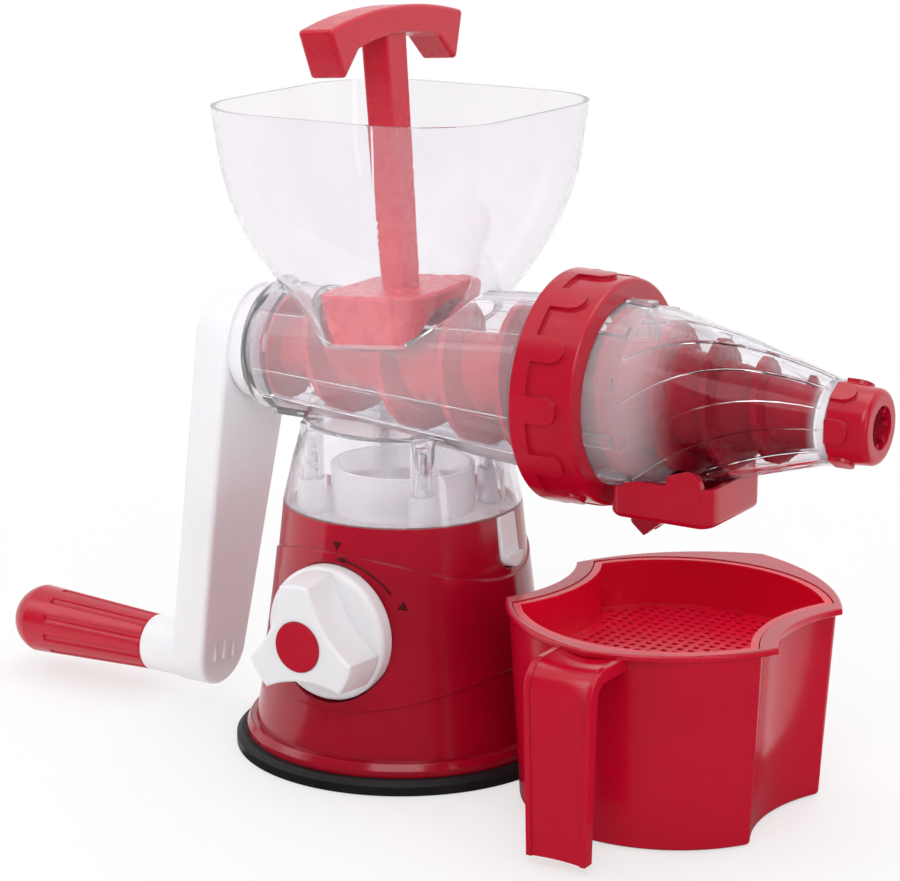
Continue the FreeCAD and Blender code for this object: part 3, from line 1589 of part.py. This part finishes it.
def cup_handle():
    """Open handle: a strap out from the rim, bent down, with raised edges, narrower at the foot."""
    root_y = -cup_bottom_radius
    bend = cup_handle_bend
    left = cup_centre_x - cup_handle_top_half

    def taper(inset):
        top = cup_handle_top_half - inset
        foot = cup_handle_bottom_half - inset
        wire = Part.makePolygon([
            V(cup_centre_x - foot, 0, 0),
            V(cup_centre_x + foot, 0, 0),
            V(cup_centre_x + top, 0, cup_height),
            V(cup_centre_x - top, 0, cup_height),
            V(cup_centre_x - foot, 0, 0),
        ])
        return Part.Face(wire).extrude(V(0, 2 * cup_handle_y, 0))

    def strap(depth_in, depth_out):
        outer_y = cup_handle_y - depth_out
        inner_y = cup_handle_y + depth_in
        top = cup_handle_top_z + depth_out
        under = cup_handle_top_z - depth_in
        outer_bend = bend + depth_out
        inner_bend = bend - depth_in
        outer_bow = outer_bend * arc_bow
        inner_bow = inner_bend * arc_bow

        def place(y, z):
            return V(left, y, z)

        wire = outline(
            place,
            (root_y, top),
            (outer_y + outer_bend, top),
            ((outer_y + outer_bow, top - outer_bow), (outer_y, top - outer_bend)),
            (outer_y, cup_handle_bottom_z),
            (inner_y, cup_handle_bottom_z),
            (inner_y, under - inner_bend),
            ((inner_y + inner_bow, under - inner_bow), (inner_y + inner_bend, under)),
            (root_y, under),
        )
        return Part.Face(wire).extrude(V(2 * cup_handle_top_half, 0, 0))

    edges = taper(0).cut(taper(cup_handle_edge_width))
    web = strap(cup_handle_web, 0).common(taper(0))
    return web.fuse(strap(0, cup_handle_edge).common(edges))


def juice_cup():
    cup = cup_body().fuse(cup_handle()).fuse(cup_flange())
    brim_z = cup_height + overlap
    cup = cup.cut(cup_form(cup_wall, cup_floor, brim_z))
    return cup.cut(cup_form(cup_wall - cup_ledge_width, cup_height - cup_ledge_depth, brim_z))


def sieve():
    outer = cup_wall + sieve_gap
    inner = outer + sieve_wall
    top_z = cup_height - slide_gap
    lip_z = cup_height - cup_ledge_depth + sieve_lip_gap
    basket = cup_form(outer, sieve_floor_z, top_z)
    basket = basket.fuse(cup_form(cup_wall - cup_ledge_width + sieve_gap, lip_z, top_z))
    basket = basket.cut(cup_form(inner, sieve_floor_z + sieve_wall, cup_height + overlap))
    columns = int(2 * cup_top_radius / sieve_hole_pitch) + 1
    half = sieve_hole_size / 2
    limit = cup_bottom_radius - sieve_edge_margin
    notch_limit = cup_notch_bottom_radius + sieve_edge_margin
    holes = []
    for row in range(columns):
        for column in range(columns):
            x = sieve_hole_pitch * (column - (columns - 1) / 2)
            y = sieve_hole_pitch * (row - (columns - 1) / 2)
            clear_of_wall = math.hypot(x, y) < limit
            clear_of_notch = math.hypot(cup_notch_distance - abs(x), y) > notch_limit
            if clear_of_wall and clear_of_notch:
                holes.append(block(cup_centre_x + x - half, cup_centre_x + x + half, y - half, y + half,
                                   sieve_floor_z - overlap, sieve_floor_z + sieve_wall + overlap))
    return basket.cut(Part.makeCompound(holes))


os.makedirs("parts", exist_ok=True)

save("base_housing", base_housing())
save("release_latch", release_latch())
save("latch_pin", latch_pin())
save("suction_pad", suction_pad())
save("base_plate", base_plate())
save("base_plate_screws", *plate_screws())
save("suction_plunger", suction_plunger())
save("cam_shaft", cam_shaft())
save("suction_knob", suction_knob())
save("knob_cap", knob_cap())
save("knob_screw", knob_screw())
save("head_housing", head_housing())
save("adapter_plate", adapter_plate())
save("adapter_screws", *adapter_screws())
save("rear_bush", rear_bush())
save("shaft_seal", shaft_seal())
save("strainer_cone", strainer_cone())
save("cone_seal", cone_seal())
save("juice_spout", juice_spout())
save("drive_shaft", swung(drive_shaft()))
save("auger", auger())
save("lock_ring", lock_ring())
save("outlet_cap", outlet_cap())
save("hopper", hopper())
save("pusher", pusher())
save("crank_arm", crank_arm())
save("crank_screw", crank_screw())
save("crank_cap", crank_cap())
save("grip_pin", grip_pin())
save("crank_grip", crank_grip())
save("juice_cup", juice_cup())
save("sieve", sieve())
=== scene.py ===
import math

import bmesh
import bpy
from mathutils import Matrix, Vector


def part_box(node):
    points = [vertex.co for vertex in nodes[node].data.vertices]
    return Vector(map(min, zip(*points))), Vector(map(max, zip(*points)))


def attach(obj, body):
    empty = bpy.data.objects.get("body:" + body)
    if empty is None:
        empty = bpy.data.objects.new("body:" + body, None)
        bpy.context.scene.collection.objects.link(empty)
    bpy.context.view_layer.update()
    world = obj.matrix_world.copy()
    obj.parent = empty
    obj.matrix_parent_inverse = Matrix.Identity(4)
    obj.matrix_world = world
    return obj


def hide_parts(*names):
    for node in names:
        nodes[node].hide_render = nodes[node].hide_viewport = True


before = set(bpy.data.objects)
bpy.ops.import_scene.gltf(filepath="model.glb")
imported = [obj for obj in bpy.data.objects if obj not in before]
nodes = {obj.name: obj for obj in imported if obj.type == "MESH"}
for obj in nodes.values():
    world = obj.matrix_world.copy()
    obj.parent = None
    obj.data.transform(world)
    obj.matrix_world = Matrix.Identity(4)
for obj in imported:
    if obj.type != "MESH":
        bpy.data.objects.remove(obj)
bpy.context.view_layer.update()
scene = bpy.context.scene

# Colours, linear
CRIMSON = (1.0, 0.003, 0.042)
WHITE = (0.88, 0.875, 0.90, 1.0)
WHITE_WARM = (0.85, 0.84, 0.865, 1.0)
CLEAR = (0.96, 0.948, 0.97, 1.0)
CLEAR_COOL = (0.925, 0.908, 0.94, 1.0)
CLEAR_SHADOW = (0.985, 0.98, 0.99, 1.0)
RUBBER = (0.006, 0.0055, 0.006, 1.0)
RUBBER_PALE = (0.014, 0.012, 0.013, 1.0)
STEEL = (0.5, 0.5, 0.52, 1.0)
STEEL_PALE = (0.66, 0.66, 0.68, 1.0)
PAPER = (0.97, 0.965, 0.968, 1.0)
BACKDROP = (1.0, 1.0, 1.0, 1.0)
FRONT_CARD = (0.14, 0.135, 0.14, 1.0)

# Noise in the materials: its own roughness, and the part of its range that a ramp uses
NOISE_ROUGHNESS = 0.55
NOISE_RANGE = (0.3, 0.7)

# Plastics: sizes in metres
PLASTIC_IOR = 1.5
SOFT_EDGE = 0.0006
GRAIN_DEPTH = 0.0004
GRAIN_STRENGTH = 0.06
GLOW_DEPTH = (0.004, 0.0034, 0.0036)
CLEAR_IOR = 1.46
GLEAM_BLUE = 1.05

# Places in metres where a plastic changes along the mill, with the haze there, and where the auger's
# colour carries painted shade
HEAD_HAZE_Z = ((0.108, 0.13), (0.122, 0.1))
CONE_HAZE_X = ((0.112, 0.2), (0.132, 0.0), (0.176, 0.0), (0.182, 0.3))
# Painted light and shade: the auger's red is lighter in the barrel and darker towards the cone,
# standing in for the light falling off inside the head
AUGER_PAINTED_SHADE_X = (0.09, 0.135)
PAINTED_LIGHT_TONE = 0.3
PAINTED_SHADE_TONE = -0.2

# The spout's front wall, in metres
SPOUT_PROUD = 0.0025
SPOUT_CORNER = 0.006
WELD = 0.000001
SLIVER = 0.00001

# The channel in the cup's handle and the dished skin in it, in metres
CHANNEL_DEPTH = 0.0026
CHANNEL_DROP = 0.004
CHANNEL_ROOT_Y = -0.0595
CHANNEL_SHELF_Y = -0.067
CHANNEL_FOOT_Z = 0.0032
CHANNEL_BEND = 0.008
HANDLE_HALF_WIDTH = 0.0118
HANDLE_FLARE = 0.0018
HANDLE_LIP = 0.0021
DISH_MIDDLE = 0.0013
DISH_RISE = 0.001
DISH_SUNK = 0.0003
DISH_COLUMNS = 12
DISH_STEPS = 8

# Marks beside the knob: bearings in degrees from +X and sizes in metres
MARK_FREE = (88.0, 0.0335)
MARK_HELD = (24.0, 0.0298)
MARK_TIP = 0.0021
MARK_BACK = 0.0013
MARK_HALF_WIDTH = 0.0019
MARK_SUNK = 0.0004
MARK_HEIGHT = 0.0002
MARK_CROWN = 0.0003
MARK_CROWN_SHARE = 0.9
ARROW_START = 36.0
ARROW_END = 86.0
ARROW_RADIUS = 0.0286
ARROW_HALF_WIDTH = 0.0003
ARROW_HEAD = 0.0008
ARROW_HEAD_STEPS = 3
ARROW_STEPS = 26
IN_FRONT_Y = -0.3
SHARP_ANGLE = 30.0

# Camera at the photograph's place, in metres, degrees and millimetres of film
CAMERA_PLACE = Vector((0.5747, -0.8791, 0.3891))
CAMERA_AZIMUTH = math.radians(32.18)
CAMERA_PITCH = math.radians(14.347)
CAMERA_LENS = 112.32
CAMERA_FILM = 36.0
CAMERA_NEAR = 0.05
CAMERA_FAR = 50.0

# Stage, in metres and degrees
FLOOR_LEVEL = -0.0005
FLOOR_HALF = 6.0
SHADOW_NEAR = 0.16
SHADOW_FAR = 0.5
SHADOW_GLOW = 0.6
SKY_FRONT = 0.42
SKY_FRONT_COSINE = -0.5
SKY_BACK_COSINE = 0.4
CARD_REACH = 2.4
CARD_HEIGHT = 2.6
CARD_SPREAD = 150.0
CARD_LIFT = 0.0001
CARD_COLUMNS = 24
LAMP_TARGET = (0.02, 0.0, 0.13)


class Graph:
    """Node tree of a material or of the world, with short ways to add and join its nodes."""

    def __init__(self, owner):
        owner.use_nodes = True
        self.tree = owner.node_tree
        self.tree.nodes.clear()

    def add(self, kind, sockets=None, **settings):
        node = self.tree.nodes.new(kind)
        for key, value in settings.items():
            setattr(node, key, value)
        for key, value in (sockets or {}).items():
            node.inputs[key].default_value = value
        return node

    def join(self, source, target):
        self.tree.links.new(source, target)

    def position(self, kind="Object"):
        return self.add("ShaderNodeTexCoord").outputs[kind]

    def along(self, coord, axis):
        split = self.add("ShaderNodeSeparateXYZ")
        self.join(coord, split.inputs["Vector"])
        return split.outputs[axis]

    def noise(self, coord, scale, detail):
        sockets = {"Scale": scale, "Detail": detail, "Roughness": NOISE_ROUGHNESS}
        texture = self.add("ShaderNodeTexNoise", sockets)
        self.join(coord, texture.inputs["Vector"])
        return texture.outputs["Fac"]

    def ramp(self, value, stops, easing="LINEAR"):
        """Colour that follows a value through stops of (position, colour)."""
        node = self.add("ShaderNodeValToRGB")
        node.color_ramp.interpolation = easing
        while len(node.color_ramp.elements) < len(stops):
            node.color_ramp.elements.new(1.0)
        for element, (position, colour) in zip(node.color_ramp.elements, stops):
            element.position = position
            element.color = colour
        self.join(value, node.inputs["Fac"])
        return node.outputs["Color"]

    def marks(self, noise, low, high):
        """Colour that wanders between two colours with a noise."""
        return self.ramp(noise, tuple(zip(NOISE_RANGE, (low, high))))

    def map_range(self, value, start, end, low, high, easing="SMOOTHSTEP"):
        sockets = {"From Min": start, "From Max": end, "To Min": low, "To Max": high}
        node = self.add("ShaderNodeMapRange", sockets, interpolation_type=easing)
        self.join(value, node.inputs["Value"])
        return node.outputs["Result"]

    def combine(self, operation, first, second, clamp=False):
        node = self.add("ShaderNodeMath", operation=operation, use_clamp=clamp)
        self.join(first, node.inputs[0])
        self.join(second, node.inputs[1])
        return node.outputs["Value"]

    def mix(self, share, first, second):
        node = self.add("ShaderNodeMixShader")
        self.join(share, node.inputs["Fac"])
        self.join(first, node.inputs[1])
        self.join(second, node.inputs[2])
        return node.outputs["Shader"]

    def shown_rays(self):
        """1 for the rays that show the background: to the camera, in gloss and through glass."""
        path = self.add("ShaderNodeLightPath")
        shown = path.outputs["Is Camera Ray"]
        for kind in ("Is Glossy Ray", "Is Transmission Ray"):
            shown = self.combine("ADD", shown, path.outputs[kind], clamp=True)
        return shown

    def surface(self, shader, kind="ShaderNodeOutputMaterial"):
        self.join(shader, self.add(kind).inputs["Surface"])


def new_material(name):
    mat = bpy.data.materials.new(name)
    return mat, Graph(mat)


def grey(value):
    return (value, value, value, 1.0)


def crimson(level):
    """The mouldings' red at a given depth of colour."""
    return tuple(level * share for share in CRIMSON) + (1.0,)


def moulded_plastic(name, low, high, rough, shine=0.5, subsurface=0.0, painted_shade_x=None):
    """Moulded plastic: flow marks in the colour, a fine skin in the roughness and the normal, and
    where asked painted light and shade that grade the colour along X.
    """
    mat, graph = new_material(name)
    coord = graph.position()
    flow = graph.noise(coord, scale=22.0, detail=4.0)
    skin = graph.noise(coord, scale=160.0, detail=5.0)
    grain = graph.noise(coord, scale=900.0, detail=2.0)
    # Painted light and shade along X: the colour is lightened at the near end and darkened at the far
    # end
    if painted_shade_x:
        near, far = painted_shade_x
        painted_tone = graph.map_range(graph.along(coord, "X"), far, near, PAINTED_SHADE_TONE, PAINTED_LIGHT_TONE)
        flow = graph.combine("ADD", flow, painted_tone)
    edges = graph.add("ShaderNodeBevel", {"Radius": SOFT_EDGE}, samples=6)
    relief = graph.add("ShaderNodeBump", {"Strength": GRAIN_STRENGTH, "Distance": GRAIN_DEPTH})
    graph.join(grain, relief.inputs["Height"])
    graph.join(edges.outputs["Normal"], relief.inputs["Normal"])
    sockets = {"IOR": PLASTIC_IOR, "Specular IOR Level": shine}
    if subsurface:
        sockets["Subsurface Weight"] = subsurface
        sockets["Subsurface Radius"] = GLOW_DEPTH
        sockets["Subsurface Scale"] = 1.0
    body = graph.add("ShaderNodeBsdfPrincipled", sockets)
    smooth, dull = rough
    graph.join(graph.marks(flow, low, high), body.inputs["Base Color"])
    graph.join(graph.marks(skin, grey(smooth), grey(dull)), body.inputs["Roughness"])
    graph.join(relief.outputs["Normal"], body.inputs["Normal"])
    graph.surface(body.outputs["BSDF"])
    return mat


def clearness(graph, coord, axis, stops):
    """Share of light let through, from stops of (place, haze) along an axis."""
    near, far = stops[0][0], stops[-1][0]
    share = graph.map_range(graph.along(coord, axis), near, far, 0.0, 1.0, easing="LINEAR")
    colours = [((place - near) / (far - near), grey(1.0 - haze)) for place, haze in stops]
    return graph.ramp(share, colours, easing="EASE")


def clear_plastic(name, haze, rough=(0.012, 0.035), gleam=0.35, axis="X", stops=()):
    """Clear moulding: bends light, has a little haze and lets the lamps through to what is inside."""
    mat, graph = new_material(name)
    coord = graph.position()
    flow = graph.noise(coord, scale=26.0, detail=3.0)
    skin = graph.noise(coord, scale=120.0, detail=4.0)
    sockets = {"IOR": CLEAR_IOR, "Transmission Weight": 1.0 - haze}
    sockets["Specular Tint"] = (gleam, gleam, GLEAM_BLUE * gleam, 1.0)
    body = graph.add("ShaderNodeBsdfPrincipled", sockets)
    smooth, dull = rough
    graph.join(graph.marks(flow, CLEAR_COOL, CLEAR), body.inputs["Base Color"])
    graph.join(graph.marks(skin, grey(smooth), grey(dull)), body.inputs["Roughness"])
    if stops:
        graph.join(clearness(graph, coord, axis, stops), body.inputs["Transmission Weight"])
    through = graph.add("ShaderNodeBsdfTransparent", {"Color": CLEAR_SHADOW})
    shadow = graph.add("ShaderNodeLightPath").outputs["Is Shadow Ray"]
    graph.surface(graph.mix(shadow, body.outputs["BSDF"], through.outputs["BSDF"]))
    return mat


def rubber(name):
    """Black rubber with a fine matt grain."""
    mat, graph = new_material(name)
    coord = graph.position()
    grain = graph.noise(coord, scale=700.0, detail=4.0)
    cloud = graph.noise(coord, scale=40.0, detail=3.0)
    relief = graph.add("ShaderNodeBump", {"Strength": 0.15, "Distance": 0.0003})
    graph.join(grain, relief.inputs["Height"])
    body = graph.add("ShaderNodeBsdfPrincipled", {"Specular IOR Level": 0.25})
    graph.join(graph.marks(cloud, RUBBER, RUBBER_PALE), body.inputs["Base Color"])
    graph.join(graph.marks(grain, grey(0.45), grey(0.6)), body.inputs["Roughness"])
    graph.join(relief.outputs["Normal"], body.inputs["Normal"])
    graph.surface(body.outputs["BSDF"])
    return mat


def steel(name):
    """Plain steel with a faint brushed grain."""
    mat, graph = new_material(name)
    brushed = graph.noise(graph.position(), scale=500.0, detail=4.0)
    body = graph.add("ShaderNodeBsdfPrincipled", {"Metallic": 1.0})
    graph.join(graph.marks(brushed, STEEL, STEEL_PALE), body.inputs["Base Color"])
    graph.join(graph.marks(brushed, grey(0.22), grey(0.36)), body.inputs["Roughness"])
    graph.surface(body.outputs["BSDF"])
    return mat


# Materials
base_red = moulded_plastic("red_base", crimson(0.34), crimson(0.40), rough=(0.12, 0.18))
red = moulded_plastic("red_plastic", crimson(0.45), crimson(0.52), rough=(0.16, 0.24))
pusher_red = moulded_plastic("red_pusher", crimson(0.56), crimson(0.63), rough=(0.24, 0.32))
cup_red = moulded_plastic("red_cup", crimson(0.50), crimson(0.56), rough=(0.15, 0.22), subsurface=0.3)
# Painted light: the sieve's red is much paler than the cup's, standing in for light that barely
# reaches inside the cup
sieve_red_painted_light = moulded_plastic(
    "red_sieve_painted_light", crimson(0.76), crimson(0.83), rough=(0.2, 0.28), shine=0.4, subsurface=0.3
)
# Painted shade: the auger is given a deep red, darker still towards the cone, standing in for the
# little light that reaches it inside the clear head
auger_red_painted_shade = moulded_plastic(
    "red_auger_painted_shade", crimson(0.22), crimson(0.42), rough=(0.24, 0.32), shine=0.12, painted_shade_x=AUGER_PAINTED_SHADE_X
)
mark_red = moulded_plastic("red_mark", crimson(0.06), crimson(0.10), rough=(0.3, 0.4), shine=0.3)
white = moulded_plastic("white_plastic", WHITE_WARM, WHITE, rough=(0.28, 0.38), subsurface=0.15)
hopper_clear = clear_plastic("clear_hopper", haze=0.085)
head_clear = clear_plastic("clear_head", haze=0.1, gleam=0.6, axis="Z", stops=HEAD_HAZE_Z)
plate_clear = clear_plastic("clear_plate", haze=0.38, rough=(0.03, 0.07), gleam=0.6)
cone_clear = clear_plastic("clear_cone", haze=0.1, gleam=0.25, stops=CONE_HAZE_X)
silicone = clear_plastic("clear_silicone", haze=0.5, rough=(0.25, 0.4))
black = rubber("black_rubber")
metal = steel("steel")

nodes_of = {
    base_red: "base_housing base_plate",
    red: "juice_spout knob_cap crank_grip lock_ring outlet_cap",
    pusher_red: "pusher",
    cup_red: "juice_cup",
    sieve_red_painted_light: "sieve",
    auger_red_painted_shade: "auger",
    white: "rear_bush suction_knob cam_shaft suction_plunger release_latch crank_arm crank_cap",
    hopper_clear: "hopper",
    head_clear: "head_housing",
    plate_clear: "adapter_plate",
    cone_clear: "strainer_cone",
    silicone: "shaft_seal cone_seal",
    black: "suction_pad",
    metal: "base_plate_screws latch_pin adapter_screws knob_screw drive_shaft crank_screw grip_pin",
}
for mat, names in nodes_of.items():
    for name in names.split():
        obj = nodes[name]
        obj.data.materials.clear()
        obj.data.materials.append(mat)


# Pieces that the photograph shows finer than the CAD
def new_piece(name, bm, material, body):
    """Makes a finished bmesh a piece that moves with a body."""
    bmesh.ops.recalc_face_normals(bm, faces=bm.faces)
    mesh = bpy.data.meshes.new(name)
    bm.to_mesh(mesh)
    bm.free()
    mesh.materials.append(material)
    mesh.shade_smooth()
    mesh.set_sharp_from_angle(angle=math.radians(SHARP_ANGLE))
    obj = bpy.data.objects.new(name, mesh)
    scene.collection.objects.link(obj)
    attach(obj, body)
    return obj


def loft(bm, rings):
    """Closes a row of equal rings into one skin, with a face at each end."""
    for near, far in zip(rings, rings[1:]):
        for index in range(len(near)):
            after = (index + 1) % len(near)
            bm.faces.new((near[index], near[after], far[after], far[index]))
    bm.faces.new(rings[0])
    bm.faces.new(rings[-1])


def spout_trough():
    """The spout with its front wall brought out level with the lug, an arch over the rim."""
    lug_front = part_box("juice_spout")[0].y
    wall = lug_front + SPOUT_PROUD
    bm = bmesh.new()
    source = nodes["juice_spout"].data
    points = [bm.verts.new(vertex.co) for vertex in source.vertices]
    for face in source.polygons:
        bm.faces.new([points[index] for index in face.vertices])
    bmesh.ops.remove_doubles(bm, verts=bm.verts, dist=WELD)
    for vertex in bm.verts:
        share = min(max((wall + SPOUT_CORNER - vertex.co.y) / SPOUT_CORNER, 0.0), 1.0)
        vertex.co.y = max(lug_front, vertex.co.y - SPOUT_PROUD * share)
    bmesh.ops.dissolve_degenerate(bm, edges=bm.edges, dist=SLIVER)
    piece = new_piece("spout_trough", bm, red, "stand")
    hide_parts("juice_spout")


def channel_path(web, top):
    """The handle's channel from the side: each point's (y, z) and the direction out of the handle."""
    up, forward = (0.0, 1.0), (-1.0, 0.0)
    path = [((CHANNEL_ROOT_Y, top), up), ((CHANNEL_SHELF_Y, top), up)]
    bend_y, bend_z = web + CHANNEL_BEND, top - CHANNEL_BEND
    for step in range(DISH_STEPS + 1):
        turn = math.radians(90.0) * step / DISH_STEPS
        out = (-math.sin(turn), math.cos(turn))
        path.append(((bend_y + CHANNEL_BEND * out[0], bend_z + CHANNEL_BEND * out[1]), out))
    for step in range(1, DISH_STEPS + 1):
        path.append(((web, bend_z + (CHANNEL_FOOT_Z - bend_z) * step / DISH_STEPS), forward))
    return path


def handle_face():
    """Skin of the cup's handle: a shallow dish between its side lips, round the bend and down."""
    low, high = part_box("juice_cup")
    middle = (low.x + high.x) / 2
    across = [2.0 * column / DISH_COLUMNS - 1.0 for column in range(DISH_COLUMNS + 1)]
    section = [(share, DISH_MIDDLE + DISH_RISE * share * share) for share in across]
    section += [(share, -DISH_SUNK) for share in reversed(across)]
    bm = bmesh.new()
    rings = []
    for (y, z), (out_y, out_z) in channel_path(low.y + CHANNEL_DEPTH, high.z - CHANNEL_DROP):
        half = HANDLE_HALF_WIDTH + HANDLE_FLARE * z / high.z - HANDLE_LIP
        ring = []
        for share, lift in section:
            ring.append(bm.verts.new((middle + half * share, y + out_y * lift, z + out_z * lift)))
        rings.append(ring)
    loft(bm, rings)
    new_piece("cup_handle_face", bm, cup_red, "cup")


def on_housing(bearing, away):
    """Point and outward direction on the housing's front, at a place round the knob's axis."""
    low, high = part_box("knob_cap")
    axis_z = (low.z + high.z) / 2
    start = Vector((away * math.cos(bearing), IN_FRONT_Y, axis_z + away * math.sin(bearing)))
    _, spot, out, _ = nodes["base_housing"].ray_cast(start, Vector((0.0, 1.0, 0.0)))
    return spot, out


def knob_arrow():
    """Thin raised arrow round the knob's upper right, from its held end to its free end."""
    start, end = math.radians(ARROW_START), math.radians(ARROW_END)
    bm = bmesh.new()
    rings = []
    for step in range(ARROW_STEPS + 1):
        bearing = start + (end - start) * step / ARROW_STEPS
        left = ARROW_STEPS - step
        half = ARROW_HALF_WIDTH
        if left <= ARROW_HEAD_STEPS:
            half += ARROW_HEAD * left / ARROW_HEAD_STEPS
        foot = [(-half, -MARK_SUNK), (half, -MARK_SUNK)]
        crest = [(half, MARK_HEIGHT), (-half, MARK_HEIGHT)]
        ring = []
        for away, height in foot + crest:
            spot, out = on_housing(bearing, ARROW_RADIUS + away)
            ring.append(bm.verts.new(spot + out * height))
        rings.append(ring)
    loft(bm, rings)
    new_piece("knob_arrow", bm, mark_red, "stand")


def knob_mark(name, degrees, away):
    """Small plain triangle on the housing that points at the knob and shows one end of its turn."""
    bearing = math.radians(degrees)
    spot, out = on_housing(bearing, away)
    inward = Vector((-math.cos(bearing), 0.0, -math.sin(bearing)))
    inward = (inward - out * inward.dot(out)).normalized()
    side = out.cross(inward) * MARK_HALF_WIDTH
    back = inward * MARK_BACK
    corners = (inward * MARK_TIP, side - back, -side - back)
    bm = bmesh.new()
    rings = []
    for height, size in ((-MARK_SUNK, 1.0), (MARK_HEIGHT, 1.0), (MARK_CROWN, MARK_CROWN_SHARE)):
        rings.append([bm.verts.new(spot + corner * size + out * height) for corner in corners])
    loft(bm, rings)
    new_piece(name, bm, mark_red, "stand")


spout_trough()
handle_face()
knob_arrow()
knob_mark("knob_mark_free", *MARK_FREE)
knob_mark("knob_mark_held", *MARK_HELD)


# Stage: a pale floor that keeps the shadow, a white world, a dim card in front and soft lamps
def link_mesh(name, points, faces, material):
    """Plain mesh object in the scene."""
    mesh = bpy.data.meshes.new(name)
    mesh.from_pydata(points, [], faces)
    mesh.materials.append(material)
    obj = bpy.data.objects.new(name, mesh)
    scene.collection.objects.link(obj)
    return obj


def pale_floor():
    """Paper under the mill that turns into plain white further out."""
    mat, graph = new_material("stage_floor")
    away = graph.add("ShaderNodeVectorMath", operation="LENGTH")
    graph.join(graph.position(), away.inputs[0])
    fade = graph.map_range(away.outputs["Value"], SHADOW_NEAR, SHADOW_FAR, SHADOW_GLOW, 1.0)
    share = graph.combine("MULTIPLY", graph.shown_rays(), fade)
    paper = graph.add("ShaderNodeBsdfDiffuse", {"Color": PAPER})
    glow = graph.add("ShaderNodeEmission", {"Color": BACKDROP})
    graph.surface(graph.mix(share, paper.outputs["BSDF"], glow.outputs["Emission"]))
    near, far = -FLOOR_HALF, FLOOR_HALF
    corners = [(near, near, 0.0), (far, near, 0.0), (far, far, 0.0), (near, far, 0.0)]
    floor = link_mesh("stage_floor", corners, [(0, 1, 2, 3)], mat)
    floor.location.z = FLOOR_LEVEL


def white_world(view):
    """White where it is seen. As light it is full from behind and dimmer from the camera's side."""
    world = bpy.data.worlds.new("studio")
    scene.world = world
    graph = Graph(world)
    behind = graph.add("ShaderNodeVectorMath", {1: view}, operation="DOT_PRODUCT")
    graph.join(graph.position("Generated"), behind.inputs[0])
    cosine = behind.outputs["Value"]
    backlight = graph.map_range(cosine, SKY_FRONT_COSINE, SKY_BACK_COSINE, SKY_FRONT, 1.0)
    level = graph.add("ShaderNodeMapRange", {"To Max": 1.0})
    graph.join(backlight, level.inputs["To Min"])
    graph.join(graph.shown_rays(), level.inputs["Value"])
    sky = graph.add("ShaderNodeBackground", {"Color": BACKDROP})
    graph.join(level.outputs["Result"], sky.inputs["Strength"])
    graph.surface(sky.outputs["Background"], "ShaderNodeOutputWorld")


def dim_front():
    """Dim floor card and wall on the camera's side, like a dark studio: seen only in reflections."""
    mat, graph = new_material("stage_front")
    graph.surface(graph.add("ShaderNodeEmission", {"Color": FRONT_CARD}).outputs["Emission"])
    level = FLOOR_LEVEL + CARD_LIFT
    middle = math.atan2(CAMERA_PLACE.y, CAMERA_PLACE.x)
    points = [(0.0, 0.0, level)]
    for column in range(CARD_COLUMNS + 1):
        bearing = middle + math.radians(CARD_SPREAD) * (column / CARD_COLUMNS - 0.5)
        x, y = CARD_REACH * math.cos(bearing), CARD_REACH * math.sin(bearing)
        points += [(x, y, level), (x, y, CARD_HEIGHT)]
    faces = []
    for column in range(CARD_COLUMNS):
        low = 1 + 2 * column
        faces += [(0, low, low + 2), (low, low + 1, low + 3, low + 2)]
    front = link_mesh("stage_front", points, faces, mat)
    front.visible_camera = False
    front.visible_diffuse = False
    front.visible_transmission = False
    front.visible_shadow = False


def softbox(name, place, size, power, target=LAMP_TARGET):
    """Soft rectangular lamp turned to its target, with its power in watts."""
    light = bpy.data.lights.new(name, "AREA")
    light.shape = "RECTANGLE"
    light.size, light.size_y = size
    light.energy = power
    obj = bpy.data.objects.new(name, light)
    scene.collection.objects.link(obj)
    obj.location = place
    obj.rotation_mode = "QUATERNION"
    obj.rotation_quaternion = (Vector(target) - Vector(place)).to_track_quat("-Z", "Y")
    return obj


def narrow_fill(name, place, size, power, target, spread):
    """Narrow lamp that lightens one place and shows in no reflection."""
    obj = softbox(name, place, size, power, target)
    obj.data.spread = math.radians(spread)
    obj.visible_glossy = False


def photo_camera(view):
    """Camera that looks along the photograph's line of view."""
    data = bpy.data.cameras.new("camera")
    data.sensor_width = CAMERA_FILM
    data.lens = CAMERA_LENS
    data.clip_start = CAMERA_NEAR
    data.clip_end = CAMERA_FAR
    camera = bpy.data.objects.new("camera", data)
    scene.collection.objects.link(camera)
    camera.location = CAMERA_PLACE
    camera.rotation_mode = "QUATERNION"
    camera.rotation_quaternion = view.to_track_quat("-Z", "Y")
    scene.camera = camera


level_share = math.cos(CAMERA_PITCH)
view = Vector((
    -math.sin(CAMERA_AZIMUTH) * level_share,
    math.cos(CAMERA_AZIMUTH) * level_share,
    -math.sin(CAMERA_PITCH),
))
pale_floor()
white_world(view)
dim_front()
softbox("front", place=(0.5, -0.95, 1.05), size=(0.9, 0.7), power=5.5)
softbox("left", place=(-1.0, -0.6, 0.8), size=(0.5, 0.9), power=2.0)
softbox("strip", place=(1.2, -0.36, 0.5), size=(0.16, 0.9), power=1.6)
softbox("top", place=(0.15, 0.2, 1.3), size=(1.0, 0.8), power=3.5)
narrow_fill(
    "crank_fill", place=(0.3, -0.85, 0.22), size=(0.12, 0.3), power=0.025,
    target=(-0.16, -0.01, 0.09), spread=12.0,
)
narrow_fill(
    "head_fill", place=(0.1, -0.95, 0.45), size=(0.08, 0.05), power=0.015,
    target=(0.005, 0.0, 0.13), spread=7.0,
)
photo_camera(view)

scene.view_settings.view_transform = "Standard"
scene.cycles.transparent_max_bounces = 32
scene.cycles.transmission_bounces = 20
scene.cycles.max_bounces = 20
